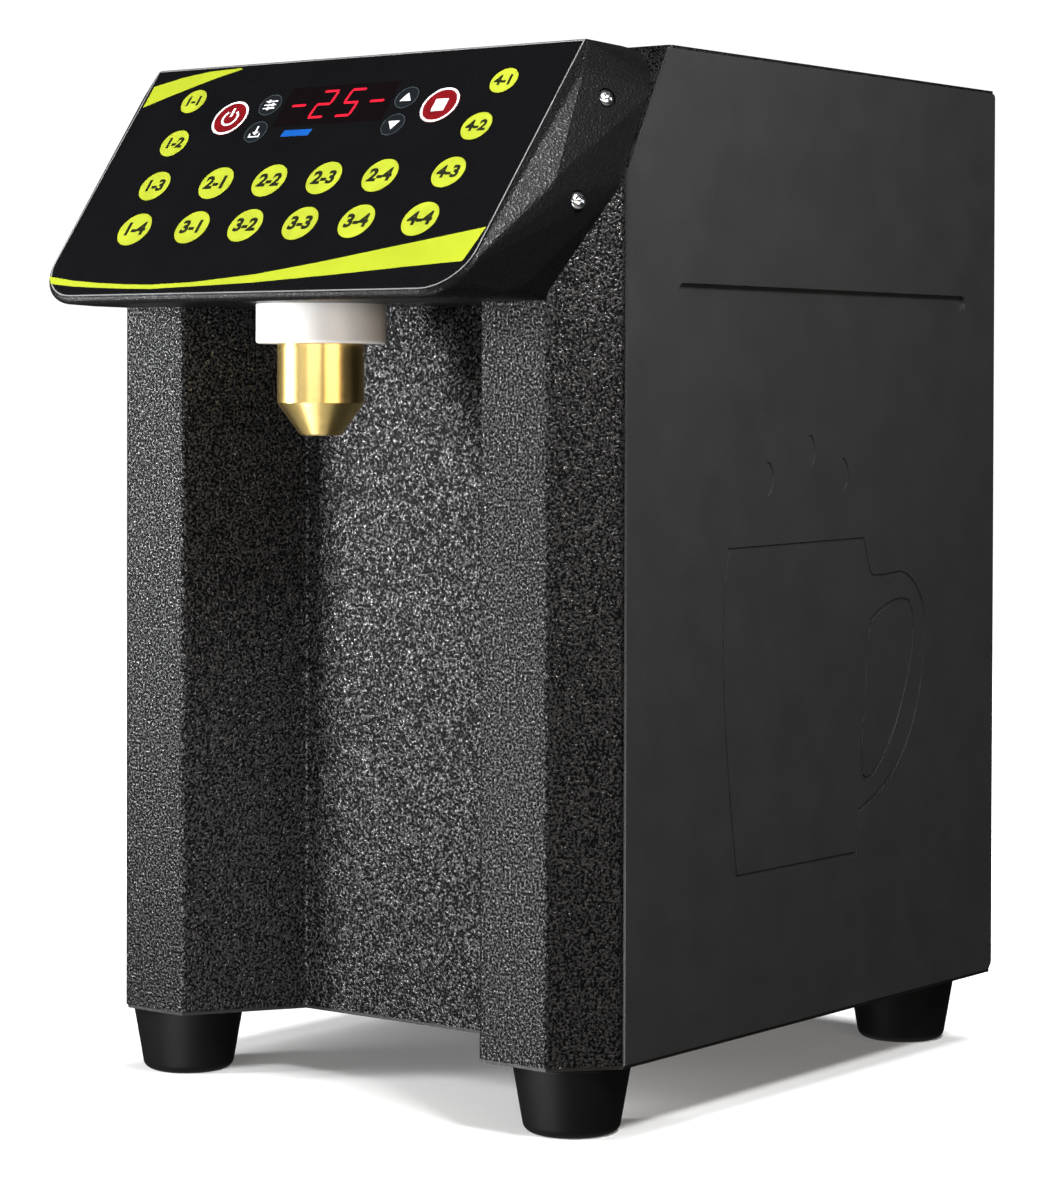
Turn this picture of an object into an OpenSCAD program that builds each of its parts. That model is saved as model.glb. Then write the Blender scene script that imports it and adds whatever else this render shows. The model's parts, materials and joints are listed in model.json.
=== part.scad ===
// Countertop fructose dispenser: a folded sheet casing with a cup niche, a sloping
// keypad console, a brass nozzle, a syrup tank and the gear pump that feeds the nozzle.
// Casing sizes count from the column fronts (y) and from the underside of the panels (z).

/* [Casing] */
// Width over the side panels
body_w = 267; // [259:1:285]
// Depth from the column fronts to the rear panel
body_d = 310; // [302:1:335]
// Height of the casing above its floor pan
body_h = 400; // [392:1:425]
// Thickness of the folded sheet
sheet_t = 1.2; // [0.8:0.1:1.5]
// Outer radius of the folded edges
bend_r = 3; // [2:0.5:4]
// Width of the slanted corner facets, seen from the front
facet_w = 21; // [16:1:26]
// Depth of the slanted corner facets, seen from the side
facet_d = 24; // [18:1:30]
// Depth that the sloping upper front falls back by
slope_d = 52.5; // [48:0.5:60]
// Height of the flanges that are folded up from the floor pan
flange_h = 12; // [8:1:16]
// Width of the flanges that are folded inwards at the rear
return_w = 14; // [10:1:18]
// Clearance between pieces that are assembled together
fit_gap = 0.2; // [0.1:0.05:0.3]

/* [Cup niche] */
// Width of the niche at the column fronts
niche_w = 160; // [150:1:170]
// Width of the niche's flat back wall
niche_back_w = 102; // [90:1:120]
// Depth of the niche
niche_d = 46.6; // [40:0.2:50]
// Height of the niche's ceiling
niche_h = 298; // [285:1:300]

/* [Side pressings] */
// Length of the pressed rib
rib_len = 225; // [180:1:235]
// Height of the pressed rib
rib_w = 6.4; // [5:0.2:8]
// Depth of the pressed rib
rib_depth = 2; // [1.5:0.1:2.5]
// Height of the rib's middle above the panels' underside
rib_z = 303; // [290:1:320]
// Start of the rib behind the column fronts
rib_y = 59; // [58:1:65]
// Width of the pressed mug line
line_w = 1.8; // [1.4:0.1:2.2]
// Depth of the pressed mug line
line_depth = 0.5; // [0.3:0.05:0.6]

/* [Console] */
// Angle between the keypad face and the floor
panel_a = 52.4; // [50:0.2:54]
// Setback of the keypad face's top edge behind the column fronts
panel_y = 21.3; // [20:0.1:23]
// Height of the console's top above the casing's top
console_rise = 1; // [0.5:0.1:2]
// Width of the keypad face at its top
panel_top_w = 227; // [222:0.5:230]
// Width of the keypad face at its foot
panel_foot_w = 222.4; // [216:0.5:224]
// Radius of the keypad face's lower corners
panel_corner_r = 19; // [14:1:24]
// Radius of the rolled rim round the keypad face
rim_r = 2.5; // [2:0.1:3]
// Wall thickness of the console
console_t = 2.5; // [2:0.1:3]
// Greatest width of the console where it meets the casing
console_base_w = 261.6; // [254:0.2:264]
// Width of the console at the crease of its flanks
console_waist_w = 249; // [240:0.5:252]
// Distance of that crease in front of the sloping face
crease_gap = 22; // [18:1:24]
// Head diameter of the console screws
console_screw_d = 7; // [6:0.1:7.4]

/* [Keypad] */
// Thickness of the keypad film on its carrier plate
overlay_t = 2; // [1.6:0.1:2.4]
// Diameter of the large round keys
key_d = 17; // [15:0.2:18]
// Diameter of the topmost key of each side column
side_key_d = 13; // [11:0.2:15]
// Growth of the side keys from row to row
side_key_step = 1.3; // [0.8:0.1:1.4]
// Diameter of the power key and the stop key
main_key_d = 18.4; // [16:0.2:20]
// Diameter of the small set, save and arrow keys
small_key_d = 11.6; // [10:0.2:12]
// Distance between key rows
row_pitch = 23.6; // [21:0.1:24]
// Distance between the middle key columns
column_pitch = 29.2; // [24:0.1:30]
// Distance of the first key row from the face's top edge
first_row = 18.5; // [16:0.5:20]
// Distance of the first side key from the middle
side_column = 83.2; // [78:0.2:86]
// Narrowing of the side key columns from row to row
side_lean = 2.4; // [0:0.1:3]
// Gap round each key
key_gap = 0.3; // [0.2:0.05:0.4]
// Travel of a key
key_travel = 0.5; // [0.3:0.05:0.6]
// Depth of the circuit board behind the keypad face
board_depth = 10.5; // [10:0.1:12]

/* [Display] */
// Width of the display window
window_w = 58; // [56:0.5:59]
// Height of the display window
window_h = 21; // [20:0.5:24]
// Distance of the window's middle from the face's top edge
window_s = 25.5; // [23:0.5:28]
// Width of the four-digit display
display_w = 56; // [50:0.2:58]
// Height of the four-digit display
display_h = 19; // [18:0.2:20]

/* [Nozzle] */
// Distance of the nozzle's axis in front of the column fronts
nozzle_out = 3.5; // [2:0.1:5]
// Diameter of the white collar
collar_d = 52.8; // [48:0.2:56]
// Height of the white collar
collar_h = 16; // [12:0.5:20]
// Diameter of the brass body
nozzle_d = 35.4; // [32:0.2:40]
// Height of the straight part of the brass body
nozzle_straight = 24; // [20:0.5:28]
// Height of the tapered tip
tip_h = 13.2; // [11:0.2:16]
// Diameter of the tip's end face
tip_d = 17.5; // [15:0.5:20]
// Diameter of the outlet bore
outlet_d = 8; // [7:0.5:9]
// Diameter of the anti-drip ball
ball_d = 11; // [10:0.2:12]
// Travel of the anti-drip ball
ball_travel = 3; // [2:0.5:4]

/* [Filler lid] */
// Width of the lid
lid_w = 196; // [180:1:200]
// Depth of the lid
lid_d = 172; // [160:1:176]
// Gap round the lid in its pocket
lid_gap = 1.5; // [1:0.1:2]
// Depth of the pocket that the lid lies in
pocket_depth = 7; // [6.6:0.1:9]
// Thickness of the lid sheet
lid_t = 1.5; // [1:0.1:1.5]
// Width of the filler opening
filler_w = 164; // [150:1:168]
// Depth of the filler opening
filler_d = 126; // [110:1:130]
// Diameter of the hinge pin
pin_d = 2.5; // [2:0.1:3]
// Outer radius of the hinge knuckles
knuckle_r = 2.8; // [2.4:0.1:3]

/* [Tank] */
// Outer width of the tank
tank_w = 206; // [190:1:210]
// Outer depth of the tank
tank_d = 168; // [155:1:172]
// Height of the tank
tank_h = 226; // [200:1:230]
// Wall thickness of the tank
tank_t = 1.2; // [1:0.1:1.5]
// Radius of the tank's upright corners
tank_r = 16; // [10:1:22]
// Distance of the tank's front behind the column fronts
tank_y = 108; // [104:1:110]

/* [Pump] */
// Number of teeth on each gear
gear_teeth = 16; // [14:2:18]
// Tooth module of the gears
gear_module = 1.25; // [1.1:0.05:1.3]
// Pressure angle of the gears
pressure_a = 25; // [24:1:27]
// Width of the gears
gear_w = 12; // [10:1:14]
// Height of the pump's middle above the panels' underside
pump_z = 62; // [58:1:70]
// Distance of the gears' front faces behind the tank's front
pump_set = 8; // [6:1:16]
// Diameter of the gear shafts
shaft_d = 8; // [7:0.5:8]
// Running clearance of the shafts, on the radius
shaft_gap = 0.05; // [0.02:0.01:0.08]
// Width of the heating pad on the tank's front
heater_w = 120; // [80:1:130]
// Height of the heating pad
heater_h = 110; // [80:1:130]
// Thickness of the heating pad
heater_t = 1.6; // [1:0.1:2]
// Diameter of the pump motor
motor_d = 37; // [34:1:40]
// Length of the pump motor with its gearbox
motor_len = 86; // [70:1:95]
// Outer diameter of the syrup hoses
hose_d = 12; // [11:0.5:13]
// Inner diameter of the syrup hoses
hose_bore = 8; // [7:0.5:8.5]
// Bend radius of the syrup hoses
hose_bend = 22; // [20:1:23]
// Length of hose that grips each spigot
hose_grip = 12; // [10:0.5:13]

/* [Electrics] */
// Length of the power supply
supply_len = 130; // [110:1:140]
// Width of the power supply
supply_w = 56; // [48:1:58]
// Height of the power supply
supply_h = 38; // [30:1:45]
// Length of the control board
control_len = 140; // [120:1:150]
// Width of the control board
control_w = 58; // [50:1:60]
// Height of the mains inlet above the panels' underside
inlet_z = 44; // [38:1:55]
// Distance of the mains inlet from the middle
inlet_x = 84; // [70:1:92]
// Height of the power switch above the mains inlet
switch_rise = 42; // [34:1:50]
// Tilt of the rocker to either side
rocker_a = 11; // [8:1:12]
// Number of louvres in each column
louvre_count = 7; // [5:1:9]
// Length of a louvre
louvre_len = 62; // [50:1:70]
// Distance that a louvre stands out
louvre_out = 3; // [2.5:0.1:3.5]

/* [Feet] */
// Height of a foot
foot_h = 28.5; // [24:0.5:32]
// Top diameter of a foot
foot_top_d = 48; // [42:1:52]
// Bottom diameter of a foot
foot_d = 38; // [32:1:40]
// Distance of the foot's axis inside the side panels
foot_inset_x = 30; // [28:1:36]
// Distance of the foot's axis inside the front and the rear
foot_inset_y = 29.5; // [27:0.5:34]

/* [Hidden] */
$fn = 48;
eps = 0.05;
big = 700;

// Casing
half_w = body_w / 2;
front_half = half_w - facet_w;
pan_t = 1.5;
pan_inset = 0.8;
slope_z = niche_h + 4;
slope_a = atan2(body_h - slope_z, slope_d);
lap_half = half_w - sheet_t - fit_gap;
lap_y = facet_d * (1 - (half_w - lap_half) / facet_w);
lap_end = slope_d + 4;

// Console and keypad face
console_top = body_h + console_rise;
panel_z = console_top - rim_r + rim_r * cos(panel_a);
panel_len = (console_top - niche_h - 2 * rim_r) / sin(panel_a);
lip_reach = panel_len * cos(panel_a) - rim_r * sin(panel_a) + rim_r - panel_y;
ledge_t = 1.6;
ledge_w = 10;
base_top = (console_top - slope_z) / sin(slope_a);
base_shoulder_r = 26;
facet_t = facet_d / cos(slope_a);
base_waist_t = facet_t * (console_base_w / 2 - front_half) / facet_w;

// Origin: on the floor, in the middle of the bounding box
front_y = (lip_reach - body_d - louvre_out) / 2;
floor_z = foot_h + pan_t;

// Keypad: name, distance from the middle, distance from the face's top edge, diameter
plunger_d = 5;
plunger_len = 3;
window_gap = 0.1;
board_t = 1.6;
board_post_d = 6;
switch_w = 6;
small_key_x = 36.6;
main_key_x = 56.2;
middle_cols = [for (i = [0:3]) (i - 1.5) * column_pitch];
SIDE_KEYS = [for (side = [0, 1], row = [0:3])
    [str("key_", side == 0 ? 1 : 4, "_", row + 1),
     (side == 0 ? -1 : 1) * (side_column - row * side_lean),
     first_row + row * row_pitch,
     row == 3 ? key_d : side_key_d + row * side_key_step]];
MIDDLE_KEYS = [for (row = [2, 3], col = [0:3])
    [str("key_", row, "_", col + 1), middle_cols[col], first_row + row * row_pitch, key_d]];
CONTROL_KEYS = [
    ["key_power", -main_key_x, window_s + 4, main_key_d],
    ["key_stop", main_key_x, window_s + 4, main_key_d],
    ["key_set", -small_key_x - 0.4, window_s - 2, small_key_d],
    ["key_save", -small_key_x - 0.4, window_s + 12.8, small_key_d],
    ["key_up", small_key_x, window_s - 1.2, small_key_d],
    ["key_down", small_key_x, window_s + 13.2, small_key_d]
];
KEYS = concat(SIDE_KEYS, MIDDLE_KEYS, CONTROL_KEYS);
BOARD_POSTS = [for (side = [-1, 1], s = [12, panel_len - 26]) [side * (panel_foot_w / 2 - 7), -s]];

// Nozzle
neck_d = 20;
spigot_len = hose_grip - 0.5;
chamber_d = ball_d + 3;
collar_z = niche_h - collar_h;
tip_z = collar_z - nozzle_straight - tip_h;
outlet_len = 8;
neck_top = niche_h + 6;
seat_bore_d = 5;
ball_gap = 0.05;
seat_top = collar_z - 6;
seat_apex = seat_top + seat_bore_d / 2;
ball_z = seat_apex - (ball_d / 2 + ball_gap) * sqrt(2);
spring_wire_d = 1;
spring_r = 4;
spring_turns = 4.5;
shoulder_z = tip_z + outlet_len;
spring_top = ball_z - sqrt(pow(ball_d / 2 + ball_gap, 2) - pow(spring_r, 2)) - spring_wire_d / 2 - 0.2;

// Filler lid and pocket
lid_y = tank_y + tank_d / 2 - lid_d / 2;
pocket_r = 8;
pocket_w = lid_w + 2 * lid_gap;
pocket_y = lid_y - lid_gap;
hinge_y = lid_y + lid_d + knuckle_r + 0.5;
hinge_z = body_h - 0.8 - knuckle_r;
pocket_end = hinge_y + 5;
filler_y = tank_y + (tank_d - filler_d) / 2;
filler_r = tank_r - 6;
pocket_floor = body_h - pocket_depth;
scoop_r = 16;
skirt_h = 3;
gasket_t = 2;
gasket_w = 7;
knuckle_len = 18;

// Tank
tank_top = pocket_floor - sheet_t;
tank_low = tank_top - tank_h;
spigot_d = hose_bore - 0.1;

// Pump
pitch_r = gear_module * gear_teeth / 2;
base_r = pitch_r * cos(pressure_a);
tip_r = pitch_r + 0.9 * gear_module;
root_r = pitch_r - 1.25 * gear_module;
tooth_play = 0.35;
tip_gap = 0.08;
face_gap = 0.1;
pump_wall = 10;
pump_half = tip_r + 9;
pump_high = pitch_r + tip_r + 9;
cover_t = 6;
bracket_t = 3;
pump_y = tank_y + pump_set;
pump_back = pump_y + gear_w + face_gap + pump_wall;
boss_end = pump_half + 5;
bend_start = boss_end + fit_gap + hose_grip;
drain_x = -(bend_start + hose_bend);
drain_y = pump_y + gear_w / 2;
drain_boss = 3;

// Hoses: the delivery hose leaves the pump sideways, rises before the tank and falls on the nozzle
delivery_x = bend_start + hose_bend;
rise_y = drain_y - 2 * hose_bend;
delivery_run = norm([delivery_x, rise_y + nozzle_out]);
delivery_a = atan2(rise_y + nozzle_out, delivery_x);
delivery_z = neck_top + fit_gap + hose_grip + hose_bend;
hose_window = 42;
hose_window_t = (delivery_z - slope_z) / sin(slope_a);
hose_window_x = delivery_x * (hose_window_t * cos(slope_a) + nozzle_out) / (rise_y + nozzle_out);

// Electrics
inlet_w = 27;
inlet_h = 20;
inlet_depth = 22;
switch_h = 19;
switch_w_out = 13;
rocker_pivot_d = 2.4;
standoff_h = 6;

// Feet
foot_web = 8;

// ---------- Outline helpers ----------

function unit(v) = v / norm(v);
function left_of(v) = [-v.y, v.x];
function reversed(list) = [for (i = [len(list) - 1:-1:0]) list[i]];

// Arc that rounds the corner b between a and c
function corner(a, b, c, r, steps = 6) =
    let (u = unit(a - b), v = unit(c - b), half = acos(u * v) / 2)
    r <= 0 || half > 89 ? [b] :
    let (mid = b + unit(u + v) * r / sin(half),
         from = b + u * r / tan(half) - mid,
         to = b + v * r / tan(half) - mid,
         start = atan2(from.y, from.x),
         sweep = (atan2(to.y, to.x) - start + 540) % 360 - 180)
    [for (k = [0:steps]) mid + r * [cos(start + sweep * k / steps), sin(start + sweep * k / steps)]];

// Closed outline with one radius for each corner
function rounded(points, radii, steps = 6) =
    let (n = len(points))
    [for (i = [0:n - 1]) each
        corner(points[(i + n - 1) % n], points[i], points[(i + 1) % n], radii[i], steps)];

// Open path with the same shape, moved to its left by d
function shifted(path, d) =
    let (n = len(path))
    [for (i = [0:n - 1])
        let (before = left_of(unit(path[max(i, 1)] - path[max(i, 1) - 1])),
             after = left_of(unit(path[min(i + 1, n - 1)] - path[min(i, n - 2)])))
        path[i] + (before + after) * d / (1 + before * after)];

// Closed outline moved to its left by d
function inset_loop(loop, d) =
    let (n = len(loop))
    [for (i = [0:n - 1])
        let (before = left_of(unit(loop[i] - loop[(i + n - 1) % n])),
             after = left_of(unit(loop[(i + 1) % n] - loop[i])))
        loop[i] + (before + after) * d / (1 + before * after)];

// Bend radii of a path: the outside of each fold has radius r, the inside less the sheet
function fold_radii(path, r, depth) =
    let (n = len(path))
    [for (i = [0:n - 1])
        i == 0 || i == n - 1 ? 0 :
        let (u = path[i] - path[i - 1], v = path[i + 1] - path[i])
        u.x * v.y - u.y * v.x > 0 ? r - depth : r - sheet_t + depth];

// Points on a cubic curve, without its end point
function curve(a, b, c, d, steps = 8) =
    [for (k = [0:steps - 1]) let (t = k / steps, s = 1 - t)
        s * s * s * a + 3 * s * s * t * b + 3 * s * t * t * c + t * t * t * d];

// Rectangle outline, centred on x, starting at y
function plate_outline(w, y, d, r) =
    rounded([[-w / 2, y], [w / 2, y], [w / 2, y + d], [-w / 2, y + d]], [r, r, r, r]);

// ---------- Placement helpers ----------

module in_casing() { translate([0, front_y, floor_z]) children(); }

// Keypad face: x across, y up the face, z out of it, from the middle of its top edge
module on_panel() { translate([0, panel_y, panel_z]) rotate([panel_a, 0, 0]) children(); }

// Sloping upper front: x across, y up the slope, z out of it, from its lower edge
module on_slope() { translate([0, 0, slope_z]) rotate([slope_a, 0, 0]) children(); }

module in_pump() { translate([0, pump_y, pump_z]) rotate([90, 0, 0]) mirror([0, 0, 1]) children(); }

// Quarter bend of a round bar: starts at the origin along +Z and turns towards +X
module bar_quarter(d) {
    translate([hose_bend, 0, 0]) rotate([90, 0, 180]) rotate_extrude(angle = 90)
        translate([hose_bend, 0]) circle(d = d);
}

// Pan-head screw pointing down, its head on z = 0
module pan_screw(head_d, shank_d, length) {
    head_h = head_d * 0.4;
    cylinder(d = head_d, h = head_h * 0.45);
    translate([0, 0, head_h * 0.45]) intersection() {
        cylinder(d = head_d, h = head_h * 0.55);
        translate([0, 0, head_h * 0.55 - head_d * 0.62]) sphere(d = head_d * 1.24);
    }
    translate([0, 0, -length]) cylinder(d = shank_d, h = length);
}

// ---------- Casing ----------

// Half of the front's plan, from the niche's middle out to the rear end of the lap
plan_half = [[niche_back_w / 2, niche_d], [niche_w / 2, 0], [front_half, 0], [lap_half, lap_y]];
function niche_plan(rear) = concat(
    [[-lap_half, rear]], reversed([for (p = plan_half) [-p.x, p.y]]), plan_half, [[lap_half, rear]]);
function flat_plan(rear) =
    [[-lap_half, rear], [-lap_half, lap_y], [-front_half, 0],
     [front_half, 0], [lap_half, lap_y], [lap_half, rear]];

function folded(path, depth) =
    let (moved = shifted(path, depth)) rounded(moved, fold_radii(path, bend_r, depth));

// Space behind the casing's front, moved inwards by depth
module front_space(depth, rear, top) {
    difference() {
        union() {
            linear_extrude(niche_h + depth + eps) polygon(folded(niche_plan(rear), depth));
            translate([0, 0, niche_h + depth]) linear_extrude(top - niche_h - depth)
                polygon(folded(flat_plan(rear), depth));
        }
        on_slope() translate([-big / 2, -40, -depth]) cube(big);
    }
}

module front_panel() {
    color("#202021") in_casing() difference() {
        front_space(0, lap_end, body_h - sheet_t);
        translate([0, 0, -eps]) front_space(sheet_t, lap_end + 1, body_h);
        on_slope() translate([hose_window_x - hose_window / 2, hose_window_t - hose_window / 2, -10])
            cube([hose_window, hose_window, 20]);
        translate([0, -nozzle_out, niche_h - 1]) cylinder(d = neck_d + 2 * fit_gap, h = 20);
    }
}

// Plan of the whole casing, anticlockwise
casing_plan = [
    [-half_w, body_d], [-half_w, facet_d], [-front_half, 0], [-niche_w / 2, 0],
    [-niche_back_w / 2, niche_d], [niche_back_w / 2, niche_d], [niche_w / 2, 0],
    [front_half, 0], [half_w, facet_d], [half_w, body_d]
];

foot_spots = [for (x = [-1, 1], y = [foot_inset_y, body_d - foot_inset_y])
    [x * (half_w - foot_inset_x), y]];

module base_pan() {
    wall = 2 * sheet_t + 2 * fit_gap;
    slots = 6;
    color("#232324") in_casing() difference() {
        union() {
            translate([0, 0, -pan_t]) linear_extrude(pan_t) polygon(inset_loop(casing_plan, pan_inset));
            linear_extrude(flange_h) difference() {
                polygon(inset_loop(casing_plan, wall));
                polygon(inset_loop(casing_plan, wall + sheet_t));
            }
        }
        for (spot = foot_spots) translate([spot.x, spot.y, -5]) cylinder(d = 5.5, h = 10);
        for (i = [0:slots - 1]) translate([-30, body_d * 0.62 + i * 12, -5]) cube([60, 4, 10]);
    }
}

side_outline = rounded(
    [[facet_d, 0], [body_d, 0], [body_d, body_h - sheet_t],
     [slope_d * (body_h - sheet_t - slope_z) / (body_h - slope_z), body_h - sheet_t],
     [facet_d, slope_z + facet_d * tan(slope_a)]],
    [0, 4, 2, 2, 6]);

// Pressed mug: rim, straight foot, bowed sides and an open handle, in (y, z)
mug_outline = concat(
    [[95, 198.6], [198, 199.8], [203, 186]],
    curve([206, 183.5], [216, 182.5], [224, 184.5], [229, 184.3], 3),
    curve([229, 184.3], [243, 182], [251, 168], [249.7, 157]),
    curve([249.7, 157], [247.5, 130], [238, 96], [195.7, 83.5]),
    [[195.7, 83.5], [193, 65]],
    curve([101, 65], [94, 105], [86, 165], [93.4, 195], 9));
mug_handle = concat(
    curve([204, 164.3], [214, 171], [228, 174], [234.9, 171.7], 5),
    curve([234.9, 171.7], [243, 166], [241, 146], [224.7, 117.8]),
    curve([224.7, 117.8], [215, 103], [202, 92], [198, 98], 6),
    curve([198, 98], [195, 104], [200, 140], [204, 164.3], 5));

// Line of width line_w along a closed clockwise outline
module pressed_line(loop) {
    difference() {
        polygon(inset_loop(loop, line_w / 2));
        polygon(inset_loop(loop, -line_w / 2));
    }
}

// Crescent of steam: a thin moon open towards the front
module crescent(y, z) {
    translate([y, z]) intersection() {
        difference() {
            circle(r = 9.4);
            translate([-2.6, 0]) circle(r = 9.6);
        }
        translate([0, -7]) square([20, 14]);
    }
}

module rib_shape(grow) {
    for (end = [rib_w / 2, rib_len - rib_w / 2]) translate([rib_y + end, rib_z])
        circle(d = rib_w + 2 * grow);
    translate([rib_y + rib_w / 2, rib_z - rib_w / 2 - grow]) square([rib_len - rib_w, rib_w + 2 * grow]);
}

// Right-hand side panel; the left-hand one is its mirror image
module side_sheet() {
    // in_face: draws (y, z) shapes as plates that reach inwards from the outer face by depth
    module in_face(depth) {
        translate([half_w - depth, 0, 0]) rotate([90, 0, 90]) linear_extrude(depth) children();
    }
    difference() {
        union() {
            in_face(sheet_t) polygon(side_outline);
            in_face(rib_depth + sheet_t) rib_shape(sheet_t);
            translate([half_w - return_w, body_d - 2 * sheet_t, flange_h + 4])
                cube([return_w - eps, sheet_t, body_h - flange_h - 4 - 3 * sheet_t]);
        }
        for (z = screw_heights) translate([screw_x, body_d - 4 * sheet_t, z]) rotate([-90, 0, 0])
            cylinder(d = 3.4, h = 10);
        translate([eps, 0, 0]) in_face(rib_depth + eps) rib_shape(0);
        translate([eps, 0, 0]) in_face(line_depth + eps) pressed_line(mug_outline);
        translate([eps, 0, 0]) in_face(line_depth + eps) pressed_line(mug_handle);
        translate([eps, 0, 0]) in_face(line_depth + eps) {
            crescent(118.4, 227.1);
            crescent(150.2, 237.9);
            crescent(176.4, 227.9);
        }
    }
}

module right_side_panel() { color("#343536") in_casing() side_sheet(); }

module left_side_panel() { color("#343536") in_casing() mirror([1, 0, 0]) side_sheet(); }

louvre_x = 66;
louvre_low = 150;
louvre_pitch = 22;
rear_half = half_w - sheet_t - fit_gap;
screw_x = rear_half - return_w / 2;
screw_heights = [40, body_h / 2, body_h - 40];
screw_spots = [for (x = [-screw_x, screw_x], z = screw_heights) [x, z]];

// Hood of a louvre: a quarter-round scoop that opens downwards
module louvre() {
    rotate([0, 90, 0]) translate([0, 0, -louvre_len / 2]) difference() {
        intersection() {
            cylinder(r = louvre_out, h = louvre_len);
            translate([-louvre_out, 0, 0]) cube([louvre_out, louvre_out, louvre_len]);
        }
        translate([eps, -eps, 0.8]) intersection() {
            cylinder(r = louvre_out - 0.8, h = louvre_len - 1.6);
            translate([-louvre_out, 0, 0]) cube([louvre_out, louvre_out, louvre_len]);
        }
    }
}

module rear_panel() {
    outer = body_d - sheet_t;
    color("#262627") in_casing() {
        difference() {
            translate([-rear_half, outer, 0])
                cube([2 * rear_half, sheet_t, body_h - sheet_t - 2 * fit_gap]);
            for (x = [-louvre_x, louvre_x], i = [0:louvre_count - 1])
                translate([x - louvre_len / 2 + 0.8, outer - 1, louvre_low + i * louvre_pitch])
                    cube([louvre_len - 1.6, 10, louvre_out - 0.8]);
            translate([inlet_x - inlet_w / 2, outer - 1, inlet_z - inlet_h / 2])
                cube([inlet_w, 10, inlet_h]);
            translate([inlet_x - switch_w_out / 2, outer - 1, inlet_z + switch_rise - switch_h / 2])
                cube([switch_w_out, 10, switch_h]);
            for (spot = screw_spots) translate([spot.x, outer - 1, spot.y]) rotate([-90, 0, 0])
                cylinder(d = 3.4, h = 10);
        }
        for (x = [-louvre_x, louvre_x], i = [0:louvre_count - 1])
            translate([x, body_d, louvre_low + i * louvre_pitch]) louvre();
    }
}

// Pan-head screws through the rear panel into the side panels' flanges
module panel_screws() {
    color("#8d8f92") in_casing() for (spot = screw_spots)
        translate([spot.x, body_d, spot.y]) rotate([-90, 0, 0]) pan_screw(6.4, 3.2, 3 * sheet_t);
}

// Plan of the lid pocket with its finger scoop, grown outwards
module pocket_plan(grow) {
    polygon(plate_outline(pocket_w + 2 * grow, pocket_y - grow,
                          pocket_end - pocket_y + 2 * grow, pocket_r + grow));
    translate([0, pocket_y]) circle(r = scoop_r + grow);
}

// Plan of the filler opening, grown outwards
function filler_outline(grow) =
    plate_outline(filler_w + 2 * grow, filler_y - grow, filler_d + 2 * grow, filler_r + grow);

module top_panel() {
    collar_rise = pocket_depth - lid_t - gasket_t - 0.3;
    web_z = hinge_z - pocket_floor;
    color("#242425") in_casing() difference() {
        union() {
            translate([0, 0, body_h - sheet_t]) linear_extrude(sheet_t) polygon(rounded(
                [[-half_w, slope_d], [half_w, slope_d], [half_w, body_d], [-half_w, body_d]],
                [2, 2, 3, 3]));
            translate([0, 0, pocket_floor - sheet_t]) linear_extrude(pocket_depth + sheet_t - eps)
                pocket_plan(sheet_t);
        }
        translate([0, 0, pocket_floor]) linear_extrude(pocket_depth + 1) pocket_plan(0);
        translate([0, 0, pocket_floor - 5]) linear_extrude(10) polygon(filler_outline(0));
    }
    color("#242425") in_casing() translate([0, 0, pocket_floor - eps]) linear_extrude(collar_rise + eps)
        difference() {
            polygon(filler_outline(sheet_t));
            polygon(filler_outline(0));
        }
    color("#242425") in_casing() for (x = [-1, 0, 1])
        translate([x * 3 * knuckle_len, hinge_y, hinge_z]) difference() {
            union() {
                rotate([0, 90, 0]) translate([0, 0, -knuckle_len / 2])
                    cylinder(r = knuckle_r, h = knuckle_len);
                translate([-knuckle_len / 2, 0, -web_z - eps]) cube([knuckle_len, knuckle_r, web_z + eps]);
            }
            rotate([0, 90, 0]) translate([0, 0, -knuckle_len]) cylinder(d = pin_d, h = 2 * knuckle_len);
        }
}

module filler_lid() {
    color("#2a2a2b") in_casing() difference() {
        union() {
            translate([0, 0, body_h - lid_t]) linear_extrude(lid_t)
                polygon(plate_outline(lid_w, lid_y, lid_d, pocket_r - lid_gap));
            translate([0, 0, body_h - lid_t - skirt_h]) linear_extrude(skirt_h + eps) difference() {
                polygon(plate_outline(lid_w, lid_y, lid_d, pocket_r - lid_gap));
                polygon(plate_outline(lid_w - 2 * lid_t, lid_y + lid_t, lid_d - 2 * lid_t,
                                      pocket_r - lid_gap - lid_t));
            }
            for (x = [-1.5, 1.5]) translate([x * knuckle_len, 0, 0]) {
                translate([-knuckle_len / 2 + 0.3, hinge_y, hinge_z]) rotate([0, 90, 0])
                    cylinder(r = knuckle_r, h = knuckle_len - 0.6);
                translate([-knuckle_len / 2 + 0.3, lid_y + lid_d - 1, hinge_z + knuckle_r - lid_t])
                    cube([knuckle_len - 0.6, hinge_y - lid_y - lid_d + 1, lid_t]);
            }
        }
        translate([-big / 2, hinge_y, hinge_z]) rotate([0, 90, 0])
            cylinder(d = pin_d + 2 * shaft_gap, h = big);
    }
}

module lid_gasket() {
    color("#d8d6cf") in_casing() translate([0, 0, body_h - lid_t - gasket_t]) linear_extrude(gasket_t)
        difference() {
            polygon(filler_outline(gasket_w / 2));
            polygon(filler_outline(-gasket_w / 2));
        }
}

module lid_hinge_pin() {
    color("#c9cbce") in_casing() translate([-3.5 * knuckle_len, hinge_y, hinge_z]) rotate([0, 90, 0])
        cylinder(d = pin_d, h = 7 * knuckle_len);
}

// ---------- Console ----------

// Outline of the keypad face in its own plane
function face_outline(inset) = rounded(
    [[-panel_foot_w / 2 + inset, -panel_len + inset], [panel_foot_w / 2 - inset, -panel_len + inset],
     [panel_top_w / 2 - inset, -inset], [-panel_top_w / 2 + inset, -inset]],
    [panel_corner_r - inset, panel_corner_r - inset, 2, 2], 10);

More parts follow.
